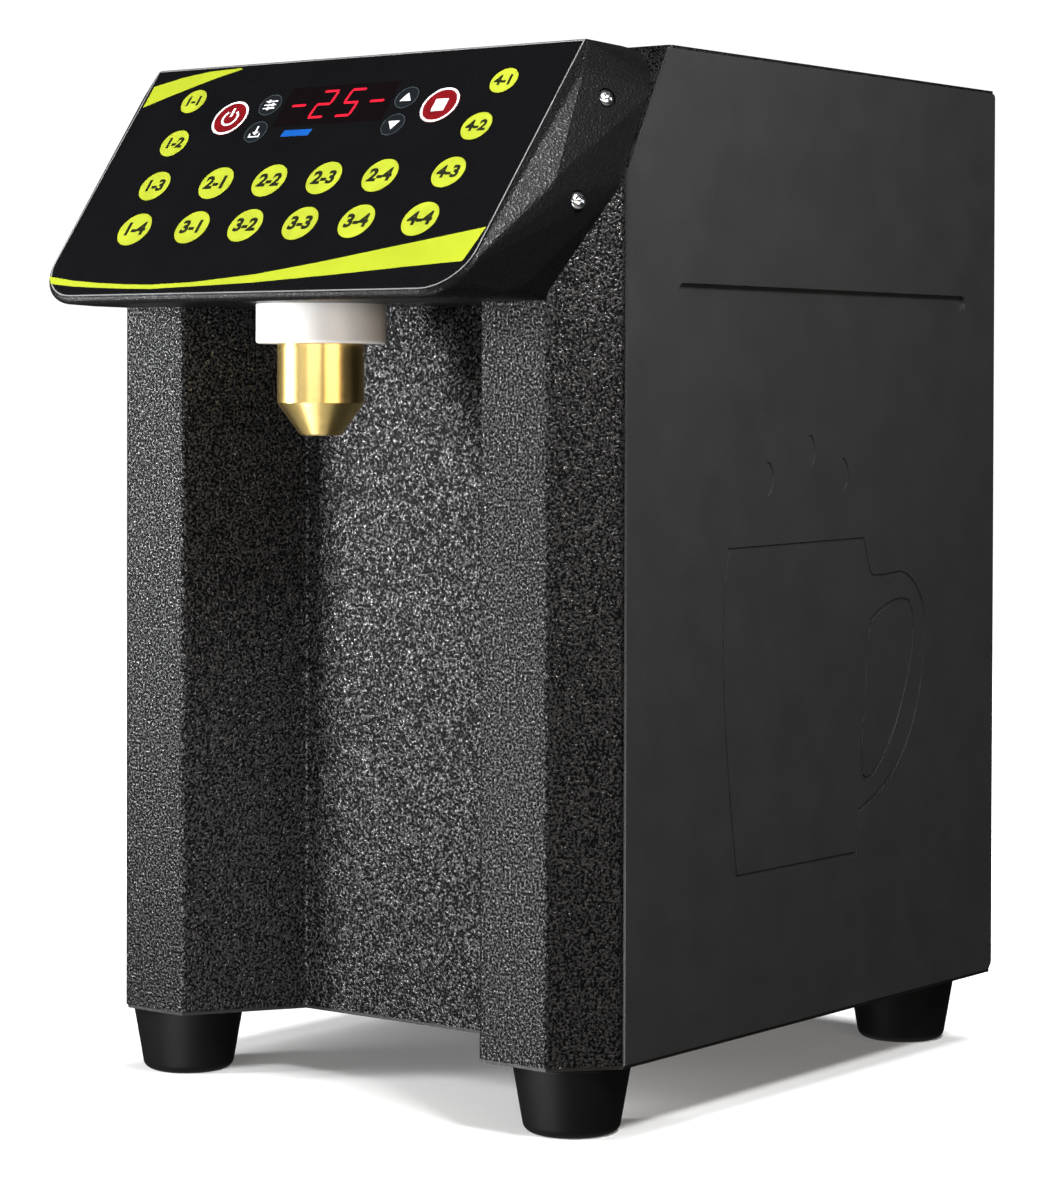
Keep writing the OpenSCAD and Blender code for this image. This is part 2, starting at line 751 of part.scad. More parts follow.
// Outline where the console meets the sloping face
function base_outline(inset) =
    let (half = console_base_w / 2 - inset, foot = front_half - inset)
    rounded([[-foot, 0], [foot, 0], [half, base_waist_t], [half, base_top - inset],
             [-half, base_top - inset], [-half, base_waist_t]],
            [0, 0, 30, base_shoulder_r - inset, base_shoulder_r - inset, 30], 8);

// Outline of the flanks near their crease, in a plane parallel to the sloping face, gap before it
function crease_outline(gap, inset) =
    let (waist = console_waist_w / 2 - inset, shoulder = waist - 5.5, foot = front_half - inset,
         low = max(inset, 0) - (slope_z - niche_h + gap * cos(slope_a)) / sin(slope_a),
         high = base_top - gap / tan(slope_a) - max(inset, 0))
    rounded([[-foot, low], [foot, low], [waist, low + 46], [shoulder, high],
             [-shoulder, high], [-waist, low + 46]],
            [10, 10, 40, 16, 16, 40], 8);

// Solid form of the console, without its open back
module console_solid() {
    hull() {
        on_panel() for (side = [-1, 1]) {
            translate([side * (panel_foot_w / 2 - panel_corner_r), panel_corner_r - panel_len, -rim_r])
                rotate_extrude() translate([panel_corner_r, 0]) circle(r = rim_r, $fn = 24);
            translate([side * panel_top_w / 2, 0, -rim_r]) sphere(r = rim_r, $fn = 24);
        }
        for (ring = [[0, 0], [5, 1.6], [-6, -0.9]])
            on_slope() translate([0, 0, crease_gap + ring[0]]) linear_extrude(0.1)
                polygon(crease_outline(crease_gap + ring[0], ring[1]));
        on_slope() linear_extrude(0.6) polygon(base_outline(0));
        translate([0, 0, niche_h]) rotate([90, 0, 0]) linear_extrude(0.6) polygon(rounded(
            [[-front_half, 0], [front_half, 0], [front_half, 4], [-front_half, 4]], [3, 3, 0, 0]));
    }
}

// Hollow inside the console, open towards the casing
module console_hollow() {
    hull() {
        on_panel() translate([0, 0, -overlay_t - ledge_t - 0.1]) linear_extrude(0.1)
            polygon(face_outline(2.2));
        on_slope() translate([0, 0, crease_gap]) linear_extrude(0.1)
            polygon(crease_outline(crease_gap, console_t));
        on_slope() translate([0, 0, -1]) linear_extrude(1) polygon(base_outline(console_t));
        translate([0, 1, niche_h]) rotate([90, 0, 0]) linear_extrude(1) polygon(
            [for (x = [-1, 1], z = [0, 1]) [x * (1 - 2 * z) * (front_half - 4), console_t + z * 1.5]]);
    }
}

// Everything behind the upright strip and the sloping front above it
module casing_front() {
    low = niche_h - 10;
    rotate([90, 0, 90]) translate([0, 0, -big / 2]) linear_extrude(big)
        polygon([[0, low], [0, slope_z], [2 * slope_d, 2 * body_h - slope_z], [2 * slope_d, low]]);
}

// Seats of the flank screws: distance up the slope, out of the slope, turn of the flank and
// distance from the middle
SCREW_SEATS = [[77, 15, 24.5, 122.6], [31, 14.5, 19, 124.8]];

module at_console_screws() {
    for (side = [-1, 1], seat = SCREW_SEATS)
        on_slope() mirror([side < 0 ? 1 : 0, 0, 0]) translate([seat[3], seat[0], seat[1]])
            rotate([0, 90 - seat[2], 0]) children();
}

module console_housing() {
    color("#232325") in_casing() {
        difference() {
            console_solid();
            console_hollow();
            on_panel() translate([0, 0, -overlay_t]) linear_extrude(5) polygon(face_outline(fit_gap));
            on_panel() translate([0, 0, -12]) linear_extrude(12) polygon(face_outline(ledge_w));
            casing_front();
            translate([0, -nozzle_out, niche_h - 1]) cylinder(d = neck_d + 2 * fit_gap, h = 12);
            at_console_screws() cylinder(d = console_screw_d + 1, h = 10);
            at_console_screws() translate([0, 0, -8]) cylinder(d = 3.6, h = 10);
        }
        on_panel() for (spot = BOARD_POSTS) translate([spot.x, spot.y, -board_depth])
            cylinder(d = board_post_d, h = board_depth - overlay_t);
    }
}

module console_screws() {
    color("#e4e6e8") in_casing() at_console_screws() pan_screw(console_screw_d, 3.4, 6);
}

module keypad_overlay() {
    color("#1e1f21") in_casing() on_panel() translate([0, 0, -overlay_t]) linear_extrude(overlay_t)
        difference() {
            polygon(face_outline(fit_gap + 0.4));
            for (key = KEYS) translate([key[1], -key[2]]) circle(d = key[3] + 2 * key_gap);
            translate([-window_w / 2 - window_gap, -window_s - window_h / 2 - window_gap])
                square([window_w + 2 * window_gap, window_h + 2 * window_gap]);
        }
}

module display_window() {
    color("#3a0a0c") in_casing() on_panel() translate([-window_w / 2, -window_s - window_h / 2, -overlay_t])
        cube([window_w, window_h, overlay_t]);
}

module display_module() {
    module_h = board_depth - overlay_t;
    digit_w = display_w / 4;
    color("#2b2b2d") in_casing() on_panel()
        translate([-display_w / 2, -window_s - display_h / 2, -board_depth]) difference() {
            cube([display_w, display_h, module_h]);
            for (i = [1:3]) translate([i * digit_w - 0.2, -1, module_h - 0.4])
                cube([0.4, display_h + 2, 1]);
        }
}

module keypad_board() {
    side = panel_foot_w / 2 - 3;
    low = panel_len - 20;
    color("#1f5a34") in_casing() on_panel() translate([0, 0, -board_depth - board_t])
        linear_extrude(board_t) difference() {
            polygon(rounded([[-side, -low], [side, -low], [side, -6], [-side, -6]], [4, 4, 4, 4]));
            for (spot = BOARD_POSTS) translate(spot) circle(d = 2.5);
        }
}

module tact_switches() {
    body_t = 3.6;
    button_top = board_depth - overlay_t - plunger_len - key_travel - 0.1;
    color("#c8cacc") in_casing() on_panel() for (key = KEYS) translate([key[1], -key[2], -board_depth]) {
        translate([-switch_w / 2, -switch_w / 2, 0])
            cube([switch_w, switch_w, min(body_t, button_top - 0.5)]);
        cylinder(d = 3.4, h = button_top);
    }
}

// A key: the round of film and carrier that moves, with the plunger behind it
module key_cap(key, tint) {
    color(tint) in_casing() on_panel() translate([key[1], -key[2], -overlay_t]) {
        cylinder(d = key[3], h = overlay_t);
        translate([0, 0, -plunger_len]) cylinder(d = plunger_d, h = plunger_len + eps);
    }
}

// ---------- Nozzle ----------

module at_nozzle() { in_casing() translate([0, -nozzle_out, 0]) children(); }

module nozzle_collar() {
    r = collar_d / 2;
    color("#f1efec") at_nozzle() translate([0, 0, collar_z]) rotate_extrude($fn = 96) difference() {
        polygon(rounded([[0, 0], [r, 0], [r, collar_h], [0, collar_h]], [0, 1.2, 0, 0]));
        translate([-1, -1]) square([neck_d / 2 + fit_gap + 1, collar_h + 2]);
    }
}

module nozzle_body() {
    r = nozzle_d / 2;
    color("#c9973f") at_nozzle() rotate_extrude($fn = 96) polygon([
        [outlet_d / 2, tip_z], [tip_d / 2 - 0.6, tip_z], [tip_d / 2, tip_z + 0.6],
        [r, tip_z + tip_h], [r, collar_z], [neck_d / 2, collar_z], [neck_d / 2, neck_top],
        [spigot_d / 2, neck_top], [spigot_d / 2, neck_top + spigot_len],
        [seat_bore_d / 2, neck_top + spigot_len], [seat_bore_d / 2, seat_top],
        [chamber_d / 2, seat_apex - chamber_d / 2],
        [chamber_d / 2, shoulder_z], [outlet_d / 2, shoulder_z]]);
}

module nozzle_ball() {
    color("#d9dadc") at_nozzle() translate([0, 0, ball_z]) sphere(d = ball_d);
}

// Helical spring between the shoulder and the ball, swept with a six-sided wire
module nozzle_spring() {
    sides = 6;
    rings = round(spring_turns * 14);
    low = shoulder_z + spring_wire_d / 2 + 0.1;
    points = [for (i = [0:rings], k = [0:sides - 1])
        let (turn = 360 * spring_turns * i / rings, ring_a = 360 * k / sides,
             r = spring_r + spring_wire_d / 2 * cos(ring_a),
             z = low + (spring_top - low) * i / rings + spring_wire_d / 2 * sin(ring_a))
        [r * cos(turn), r * sin(turn), z]];
    walls = [for (i = [0:rings - 1], k = [0:sides - 1])
        let (a = i * sides + k, b = i * sides + (k + 1) % sides)
        [a, a + sides, b + sides, b]];
    caps = [[for (k = [0:sides - 1]) k], [for (k = [sides - 1:-1:0]) rings * sides + k]];
    color("#b8babd") at_nozzle() polyhedron(points, concat(walls, caps));
}

// ---------- Pump ----------

function involute_a(r) = let (u = sqrt(max(0, pow(r / base_r, 2) - 1))) u * 180 / PI - atan(u);
function half_tooth_a(r) = 90 / gear_teeth - tooth_play + involute_a(pitch_r) - involute_a(r);
flank_radii = concat([root_r], [for (k = [0:4]) base_r + (tip_r - base_r) * k / 4]);

// Gear outline with involute teeth; one tooth lies on the X axis
gear_outline = [for (tooth = [0:gear_teeth - 1]) each concat(
    [for (r = flank_radii)
        let (a = 360 * tooth / gear_teeth - half_tooth_a(r)) r * [cos(a), sin(a)]],
    [for (r = reversed(flank_radii))
        let (a = 360 * tooth / gear_teeth + half_tooth_a(r)) r * [cos(a), sin(a)]])];

module pump_block(h) {
    x = pump_half;
    z = pump_high;
    linear_extrude(h) polygon(rounded([[-x, -z], [x, -z], [x, z], [-x, z]], [6, 6, 6, 6]));
}

module pump_housing() {
    chamber_r = tip_r + tip_gap;
    depth = gear_w + face_gap;
    port_z = depth / 2;
    bolt = [pump_half - 4.5, pump_high - 4.5];
    color("#b9bcc0") in_casing() in_pump() difference() {
        union() {
            pump_block(depth + pump_wall);
            for (side = [-1, 1]) translate([0, 0, port_z]) rotate([0, side * 90, 0]) {
                cylinder(d = depth - 0.2, h = boss_end);
                cylinder(d = spigot_d, h = bend_start - 0.5);
            }
        }
        for (y = [-pitch_r, pitch_r]) translate([0, y, -1]) cylinder(r = chamber_r, h = depth + 1);
        translate([0, -pitch_r, -1]) cylinder(d = shaft_d + 2 * shaft_gap, h = depth + pump_wall + 2);
        translate([0, pitch_r, -1]) cylinder(d = shaft_d + 2 * shaft_gap, h = depth + pump_wall - 1);
        for (side = [-1, 1]) translate([0, 0, port_z]) rotate([0, side * 90, 0])
            cylinder(d = 5, h = bend_start);
        for (x = [-1, 1], y = [-1, 1]) translate([x * bolt.x, y * bolt.y, -1]) cylinder(d = 3.3, h = 14);
    }
}

module pump_cover() {
    bolt = [pump_half - 4.5, pump_high - 4.5];
    color("#aeb1b5") in_casing() in_pump() translate([0, 0, -cover_t]) {
        difference() {
            pump_block(cover_t);
            for (y = [-pitch_r, pitch_r]) translate([0, y, 1.5])
                cylinder(d = shaft_d + 2 * shaft_gap, h = cover_t);
        }
        for (x = [-1, 1], y = [-1, 1]) translate([x * bolt.x, y * bolt.y, 0]) rotate([180, 0, 0])
            cylinder(d = 5.5, h = 3);
    }
}

module gear_blank() { translate([0, 0, face_gap / 2]) linear_extrude(gear_w) polygon(gear_outline); }

// Drive gear with the long shaft that the motor turns
module drive_gear() {
    color("#8f9296") in_casing() in_pump() translate([0, -pitch_r, 0]) {
        gear_blank();
        translate([0, 0, -cover_t + 2])
            cylinder(d = shaft_d, h = cover_t + gear_w + pump_wall + bracket_t + 12);
    }
}

// Driven gear, turned by half a tooth so that the two mesh
module driven_gear() {
    color("#8f9296") in_casing() in_pump() translate([0, pitch_r, 0]) {
        rotate(180 / gear_teeth) gear_blank();
        translate([0, 0, -cover_t + 2]) cylinder(d = shaft_d, h = cover_t + gear_w + pump_wall - 4);
    }
}

module pump_bracket() {
    w = 2 * pump_half + 16;
    rear = pump_back - pump_y;
    foot = 46;
    color("#9a9da1") in_casing() {
        difference() {
            union() {
                translate([-w / 2, pump_back, 0]) cube([w, bracket_t, pump_z + pump_high]);
                translate([-w / 2, pump_back, 0]) cube([w, foot, bracket_t]);
                for (x = [-w / 2, w / 2 - bracket_t]) translate([x, pump_back, 0])
                    rotate([90, 0, 90]) linear_extrude(bracket_t)
                        polygon([[0, 0], [foot, 0], [foot, bracket_t], [bracket_t, 70], [0, 70]]);
            }
            in_pump() translate([0, -pitch_r, rear - 1]) cylinder(d = shaft_d + 3, h = 20);
            for (x = [-18, 18]) translate([x, pump_back + foot - 14, -1]) cylinder(d = 4.5, h = 10);
        }
    }
}

module pump_motor() {
    gearbox_len = 26;
    start = pump_back - pump_y + bracket_t;
    color("#6f7276") in_casing() in_pump() translate([0, -pitch_r, start]) difference() {
        union() {
            cylinder(d = motor_d + 3, h = gearbox_len);
            cylinder(d = motor_d, h = motor_len);
            translate([0, 0, motor_len]) cylinder(d = 12, h = 4);
            for (x = [-9, 9]) translate([x - 1.4, 8, motor_len - 1]) cube([2.8, 0.8, 8]);
        }
        translate([0, 0, -1]) cylinder(d = shaft_d + 2 * shaft_gap, h = 15);
    }
}

// Round bar along the suction hose's route, longer by extra at both ends
module suction_bar(d, extra) {
    drop = tank_low - drain_boss - fit_gap - pump_z - hose_bend;
    translate([drain_x, drain_y, pump_z]) {
        translate([0, 0, hose_bend]) cylinder(d = d, h = drop + extra);
        translate([0, 0, hose_bend]) mirror([0, 0, 1]) bar_quarter(d);
        translate([hose_bend, 0, 0]) rotate([0, 90, 0]) cylinder(d = d, h = hose_grip + extra);
    }
}

// Round bar along the delivery hose's route, longer by extra at both ends
module delivery_bar(d, extra) {
    run = delivery_run - 2 * hose_bend;
    rise = delivery_z - pump_z - 2 * hose_bend;
    translate([bend_start, drain_y, pump_z]) {
        rotate([0, -90, 0]) cylinder(d = d, h = hose_grip + extra);
        rotate([0, 90, 0]) rotate(-90) bar_quarter(d);
    }
    translate([delivery_x, rise_y + hose_bend, pump_z]) rotate([90, -90, 0]) bar_quarter(d);
    translate([delivery_x, rise_y, pump_z + hose_bend]) cylinder(d = d, h = rise);
    // A union joins the riser to the run above the window
    translate([delivery_x, rise_y, delivery_z - hose_bend - d / 2]) cylinder(d = d + 2, h = d);
    translate([delivery_x, rise_y, delivery_z - hose_bend]) rotate(180 + delivery_a) {
        bar_quarter(d);
        translate([hose_bend, 0, hose_bend]) rotate([0, 90, 0]) cylinder(d = d, h = run);
        translate([delivery_run, 0, 0]) rotate(180) bar_quarter(d);
        translate([delivery_run, 0, -hose_grip - extra]) cylinder(d = d, h = hose_grip + extra);
    }
}

module suction_hose() {
    color("#d5d2c6") in_casing() difference() {
        suction_bar(hose_d, 0);
        suction_bar(hose_bore, 1);
    }
}

module delivery_hose() {
    color("#d5d2c6") in_casing() difference() {
        delivery_bar(hose_d, 0);
        delivery_bar(hose_bore, 1);
    }
}

// ---------- Tank ----------

module syrup_tank() {
    lip = 5;
    spigot_z = -drain_boss - hose_grip + 0.5;
    color("#c3c6ca") in_casing() translate([0, 0, tank_low]) difference() {
        union() {
            linear_extrude(tank_h) polygon(plate_outline(tank_w, tank_y, tank_d, tank_r));
            translate([0, 0, tank_h - tank_t]) linear_extrude(tank_t)
                polygon(plate_outline(
                    tank_w + 2 * lip, tank_y - lip + 3, tank_d + 2 * lip - 3, tank_r + lip));
            translate([drain_x, drain_y, spigot_z]) cylinder(d = spigot_d, h = -spigot_z + tank_t);
            translate([drain_x, drain_y, -drain_boss]) cylinder(d = 20, h = drain_boss + tank_t);
        }
        translate([0, 0, tank_t]) linear_extrude(tank_h) polygon(plate_outline(
            tank_w - 2 * tank_t, tank_y + tank_t, tank_d - 2 * tank_t, tank_r - tank_t));
        translate([drain_x, drain_y, spigot_z - 1]) cylinder(d = 5.5, h = 40);
    }
}

module tank_heater() {
    color("#b5502d") in_casing() {
        translate([-heater_w / 2, tank_y - heater_t, tank_low + 30]) cube([heater_w, heater_t, heater_h]);
        translate([0, tank_y - heater_t, tank_low + 20 + heater_h * 0.7]) rotate([90, 0, 0])
            cylinder(d = 16, h = 6);
    }
}

// ---------- Electrics ----------

side_clear = half_w - 3 * sheet_t - 2 * fit_gap;

module control_board() {
    x0 = -side_clear + 6;
    y0 = body_d - control_len - 45;
    color("#1c6b3c") in_casing() translate([x0, y0, 0]) {
        for (x = [5, control_w - 5], y = [5, control_len - 5]) translate([x, y, 0])
            cylinder(d = 6, h = standoff_h + eps);
        translate([0, 0, standoff_h]) cube([control_w, control_len, board_t]);
        translate([0, 0, standoff_h + board_t - eps]) {
            for (i = [0:2]) translate([8, 12 + i * 24, 0]) cube([16, 20, 16]);
            for (i = [0:3]) translate([control_w - 12, 16 + i * 16, 0]) cylinder(d = 10, h = 18);
            translate([8, control_len - 40, 0]) cube([26, 26, 3]);
            translate([control_w - 22, control_len - 44, 0]) cube([12, 34, 9]);
        }
    }
}

module power_supply() {
    x0 = side_clear - 4 - supply_w;
    y0 = body_d - supply_len - 52;
    slot_count = 9;
    color("#a7aaae") in_casing() translate([x0, y0, 0]) difference() {
        cube([supply_w, supply_len, supply_h]);
        translate([sheet_t, -1, sheet_t]) cube([supply_w - 2 * sheet_t, 16, supply_h - 2 * sheet_t]);
        for (i = [0:slot_count - 1]) translate([8, 28 + i * 10, supply_h - 1]) cube([supply_w - 16, 4, 2]);
    }
}

// Mains inlet: a socket with three flat pins in a flanged body
module power_inlet() {
    flange = 3;
    pin = [2, 16, 4];
    color("#17171a") in_casing() translate([inlet_x, body_d, inlet_z]) difference() {
        union() {
            translate([-inlet_w / 2 + fit_gap, -inlet_depth, -inlet_h / 2 + fit_gap])
                cube([inlet_w - 2 * fit_gap, inlet_depth, inlet_h - 2 * fit_gap]);
            translate([-inlet_w / 2 - flange, 0, -inlet_h / 2 - flange])
                cube([inlet_w + 2 * flange, 2, inlet_h + 2 * flange]);
        }
        translate([-inlet_w / 2 + 2, -16, -inlet_h / 2 + 2]) cube([inlet_w - 4, 30, inlet_h - 4]);
    }
    color("#c0c2c5") in_casing() translate([inlet_x, body_d, inlet_z])
        for (x = [-7, 0, 7]) translate([x - pin.x / 2, -pin.y - eps, (x == 0 ? 1.5 : -1.5) - pin.z / 2])
            cube([pin.x, pin.y - 2, pin.z]);
}

module at_switch() { in_casing() translate([inlet_x, body_d, inlet_z + switch_rise]) children(); }

module switch_body() {
    depth = 14;
    wall = 1.2;
    rim = 1.6;
    color("#17171a") at_switch() {
        difference() {
            union() {
                translate([-switch_w_out / 2 + fit_gap, -depth, -switch_h / 2 + fit_gap])
                    cube([switch_w_out - 2 * fit_gap, depth, switch_h - 2 * fit_gap]);
                translate([-switch_w_out / 2 - rim, 0, -switch_h / 2 - rim])
                    cube([switch_w_out + 2 * rim, 1.4, switch_h + 2 * rim]);
            }
            translate([-switch_w_out / 2 + fit_gap + wall, -depth + wall, -switch_h / 2 + fit_gap + wall])
                cube([switch_w_out - 2 * fit_gap - 2 * wall, depth + 5, switch_h - 2 * fit_gap - 2 * wall]);
        }
        translate([-switch_w_out / 2 + wall, -4, 0]) rotate([0, 90, 0])
            cylinder(d = rocker_pivot_d, h = switch_w_out - 2 * wall);
    }
}

// Rocker on its pivot, at rest with its upper half pressed in
module switch_rocker() {
    w = switch_w_out - 2 * fit_gap - 2 * 1.2 - 0.6;
    r = 6.2;
    color("#2a2a2d") at_switch() translate([0, -4, 0]) rotate([rocker_a, 0, 0]) rotate([0, 90, 0])
        translate([0, 0, -w / 2]) difference() {
            linear_extrude(w) polygon(rounded(
                [[-r, 3.6], [-r, 0], [0, -4], [r, 0], [r, 3.6], [0, 4.6]], [1, 1, 2, 1, 1, 0]));
            translate([0, 0, -1]) cylinder(d = rocker_pivot_d + 2 * shaft_gap, h = w + 2);
        }
}

// ---------- Feet ----------

module feet() {
    low_r = foot_d / 2;
    top_r = foot_top_d / 2;
    color("#141415") in_casing() for (spot = foot_spots) translate([spot.x, spot.y, -pan_t - foot_h])
        rotate_extrude($fn = 72) difference() {
            polygon(rounded([[0, 0], [low_r, 0], [top_r, foot_h], [0, foot_h]], [0, 4, 1.5, 0]));
            translate([-1, -1]) square([8, foot_h - foot_web + 1]);
            translate([-1, 0]) square([3.75, foot_h + 1]);
        }
}

// Screws from below through each foot into the floor pan
module foot_screws() {
    color("#a9acb0") in_casing() for (spot = foot_spots) translate([spot.x, spot.y, -pan_t - foot_web]) {
        mirror([0, 0, 1]) pan_screw(10, 5, 0.1);
        cylinder(d = 5, h = foot_web + pan_t + 6);
        translate([0, 0, foot_web + pan_t]) cylinder(d = 9, h = 4, $fn = 6);
    }
}

// ---------- Assembly ----------

base_pan();
front_panel();
left_side_panel();
right_side_panel();
rear_panel();
top_panel();
panel_screws();
console_housing();
console_screws();
keypad_overlay();
display_window();
display_module();
keypad_board();
tact_switches();
for (key = concat(SIDE_KEYS, MIDDLE_KEYS)) key_cap(key, "#dfee2e");
for (key = CONTROL_KEYS) key_cap(key, key[3] == main_key_d ? "#c4141f" : "#26292b");
nozzle_collar();
nozzle_body();
nozzle_ball();
nozzle_spring();
pump_housing();
pump_cover();
drive_gear();
driven_gear();
pump_motor();
pump_bracket();
suction_hose();
delivery_hose();
syrup_tank();
tank_heater();
control_board();
power_supply();
power_inlet();
switch_body();
switch_rocker();
filler_lid();
lid_gasket();
lid_hinge_pin();
feet();
foot_screws();
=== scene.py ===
"""Looks of a countertop fructose dispenser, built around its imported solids.

Lengths in the classes are millimetres, as in the part's source. Pieces are made in metres.
"""

import json
import logging
import math
from collections.abc import Iterable, Sequence
from dataclasses import dataclass, field
from enum import Enum

import bmesh
import bpy
from mathutils import Matrix, Vector


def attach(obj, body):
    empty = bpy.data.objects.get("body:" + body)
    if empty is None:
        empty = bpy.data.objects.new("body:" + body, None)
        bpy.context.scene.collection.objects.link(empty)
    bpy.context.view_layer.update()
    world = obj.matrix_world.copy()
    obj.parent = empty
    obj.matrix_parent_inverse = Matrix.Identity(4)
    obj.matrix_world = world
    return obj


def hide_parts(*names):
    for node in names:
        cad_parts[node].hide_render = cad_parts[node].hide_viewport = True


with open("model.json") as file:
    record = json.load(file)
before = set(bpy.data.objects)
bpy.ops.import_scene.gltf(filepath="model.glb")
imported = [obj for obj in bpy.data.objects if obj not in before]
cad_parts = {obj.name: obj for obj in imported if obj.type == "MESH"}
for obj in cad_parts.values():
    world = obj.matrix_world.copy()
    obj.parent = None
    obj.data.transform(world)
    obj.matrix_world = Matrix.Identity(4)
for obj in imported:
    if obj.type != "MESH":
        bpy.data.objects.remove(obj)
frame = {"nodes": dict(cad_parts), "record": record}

LOG = logging.getLogger("dispenser")
MM = 0.001
FIXED_BODY = "casing"

Point = tuple[float, float]
Triple = tuple[float, float, float]
Colour = Triple
Patch = tuple[list[Point], list[tuple[int, ...]]]

PRINCIPLED = "Principled BSDF"
WHITE = (1.0, 1.0, 1.0, 1.0)
WHITE_GLOW = 1.05
EVEN = (1.0, 1.0, 1.0)
COAT_ROUGHNESS = 0.12

# The span that a noise texture mostly fills, and its octaves in the relief and in the clouds.
NOISE_SPAN = (0.3, 0.7)
RELIEF_OCTAVES = 2.0
CLOUD_OCTAVES = 3.0

# Cap height as a share of the font's size, and how much bolder the figures are than the font.
CAP_SHARE = 0.7
BOLD_SHARE = 0.06

# Seats of the flank screws: way up the slope, way out of it, turn of the flank, way across.
FLANK_SEATS = ((77, 15, 24.5, 122.6), (31, 14.5, 19, 124.8))

# Seats of the rear panel's screws: way across and heights in the casing.
REAR_SEAT_X = 125.1
REAR_SEAT_HEIGHTS = (40, 200, 360)

# What the lamps in front look at, close behind and below the keypad's middle, in metres.
FRONT_AIM = (0.0, -0.13, 0.36)


# ---------- Nodes ----------


def noise(tree: bpy.types.NodeTree, size: float, detail: float,
          stretch: Triple = EVEN) -> bpy.types.NodeSocket:
    """Adds a noise texture in object coordinates.

    Args:
        tree: Node tree to add to.
        size: Grain size in millimetres.
        detail: Octaves of the noise.
        stretch: Scale along the axes.

    Returns:
        The texture's value.
    """
    place = tree.nodes.new("ShaderNodeTexCoord")
    mapping = tree.nodes.new("ShaderNodeMapping")
    mapping.inputs["Scale"].default_value = stretch
    tree.links.new(place.outputs["Object"], mapping.inputs["Vector"])
    node = tree.nodes.new("ShaderNodeTexNoise")
    node.inputs["Scale"].default_value = 1.0 / (size * MM)
    node.inputs["Detail"].default_value = detail
    tree.links.new(mapping.outputs["Vector"], node.inputs["Vector"])
    return node.outputs["Fac"]


def ramp(tree: bpy.types.NodeTree, value: bpy.types.NodeSocket,
         span: Point, low: float, high: float) -> bpy.types.NodeSocket:
    """Maps a value from a span onto low to high.

    Args:
        tree: Node tree to add to.
        value: The value.
        span: Values that become low and high.
        low: Result at the start of the span.
        high: Result at its end.

    Returns:
        The result.
    """
    node = tree.nodes.new("ShaderNodeMapRange")
    for socket, number in (("From Min", span[0]), ("From Max", span[1]),
                           ("To Min", low), ("To Max", high)):
        node.inputs[socket].default_value = number
    tree.links.new(value, node.inputs["Value"])
    return node.outputs["Result"]


def mix(tree: bpy.types.NodeTree, share: bpy.types.NodeSocket,
        first: bpy.types.NodeSocket | Sequence[float],
        second: Sequence[float]) -> bpy.types.NodeSocket:
    """Mixes two colours by a share.

    Args:
        tree: Node tree to add to.
        share: Share of the second colour.
        first: A colour or a socket that gives one.
        second: A colour.

    Returns:
        The mixed colour.
    """
    node = tree.nodes.new("ShaderNodeMix")
    node.data_type = "RGBA"
    tree.links.new(share, node.inputs["Factor"])
    if isinstance(first, bpy.types.NodeSocket):
        tree.links.new(first, node.inputs["A"])
    else:
        node.inputs["A"].default_value = first
    node.inputs["B"].default_value = second
    return node.outputs["Result"]


# ---------- Finishes ----------


@dataclass(frozen=True)
class Relief:
    """Fine relief of a surface.

    Args:
        size: Width of one grain, in millimetres.
        depth: Height of the relief, in millimetres.
        stretch: Scale along X, Y and Z, for brushed and turned surfaces.
        shine_swing: How far the roughness varies with the relief.
    """

    size: float
    depth: float
    stretch: Triple = EVEN
    shine_swing: float = 0.06


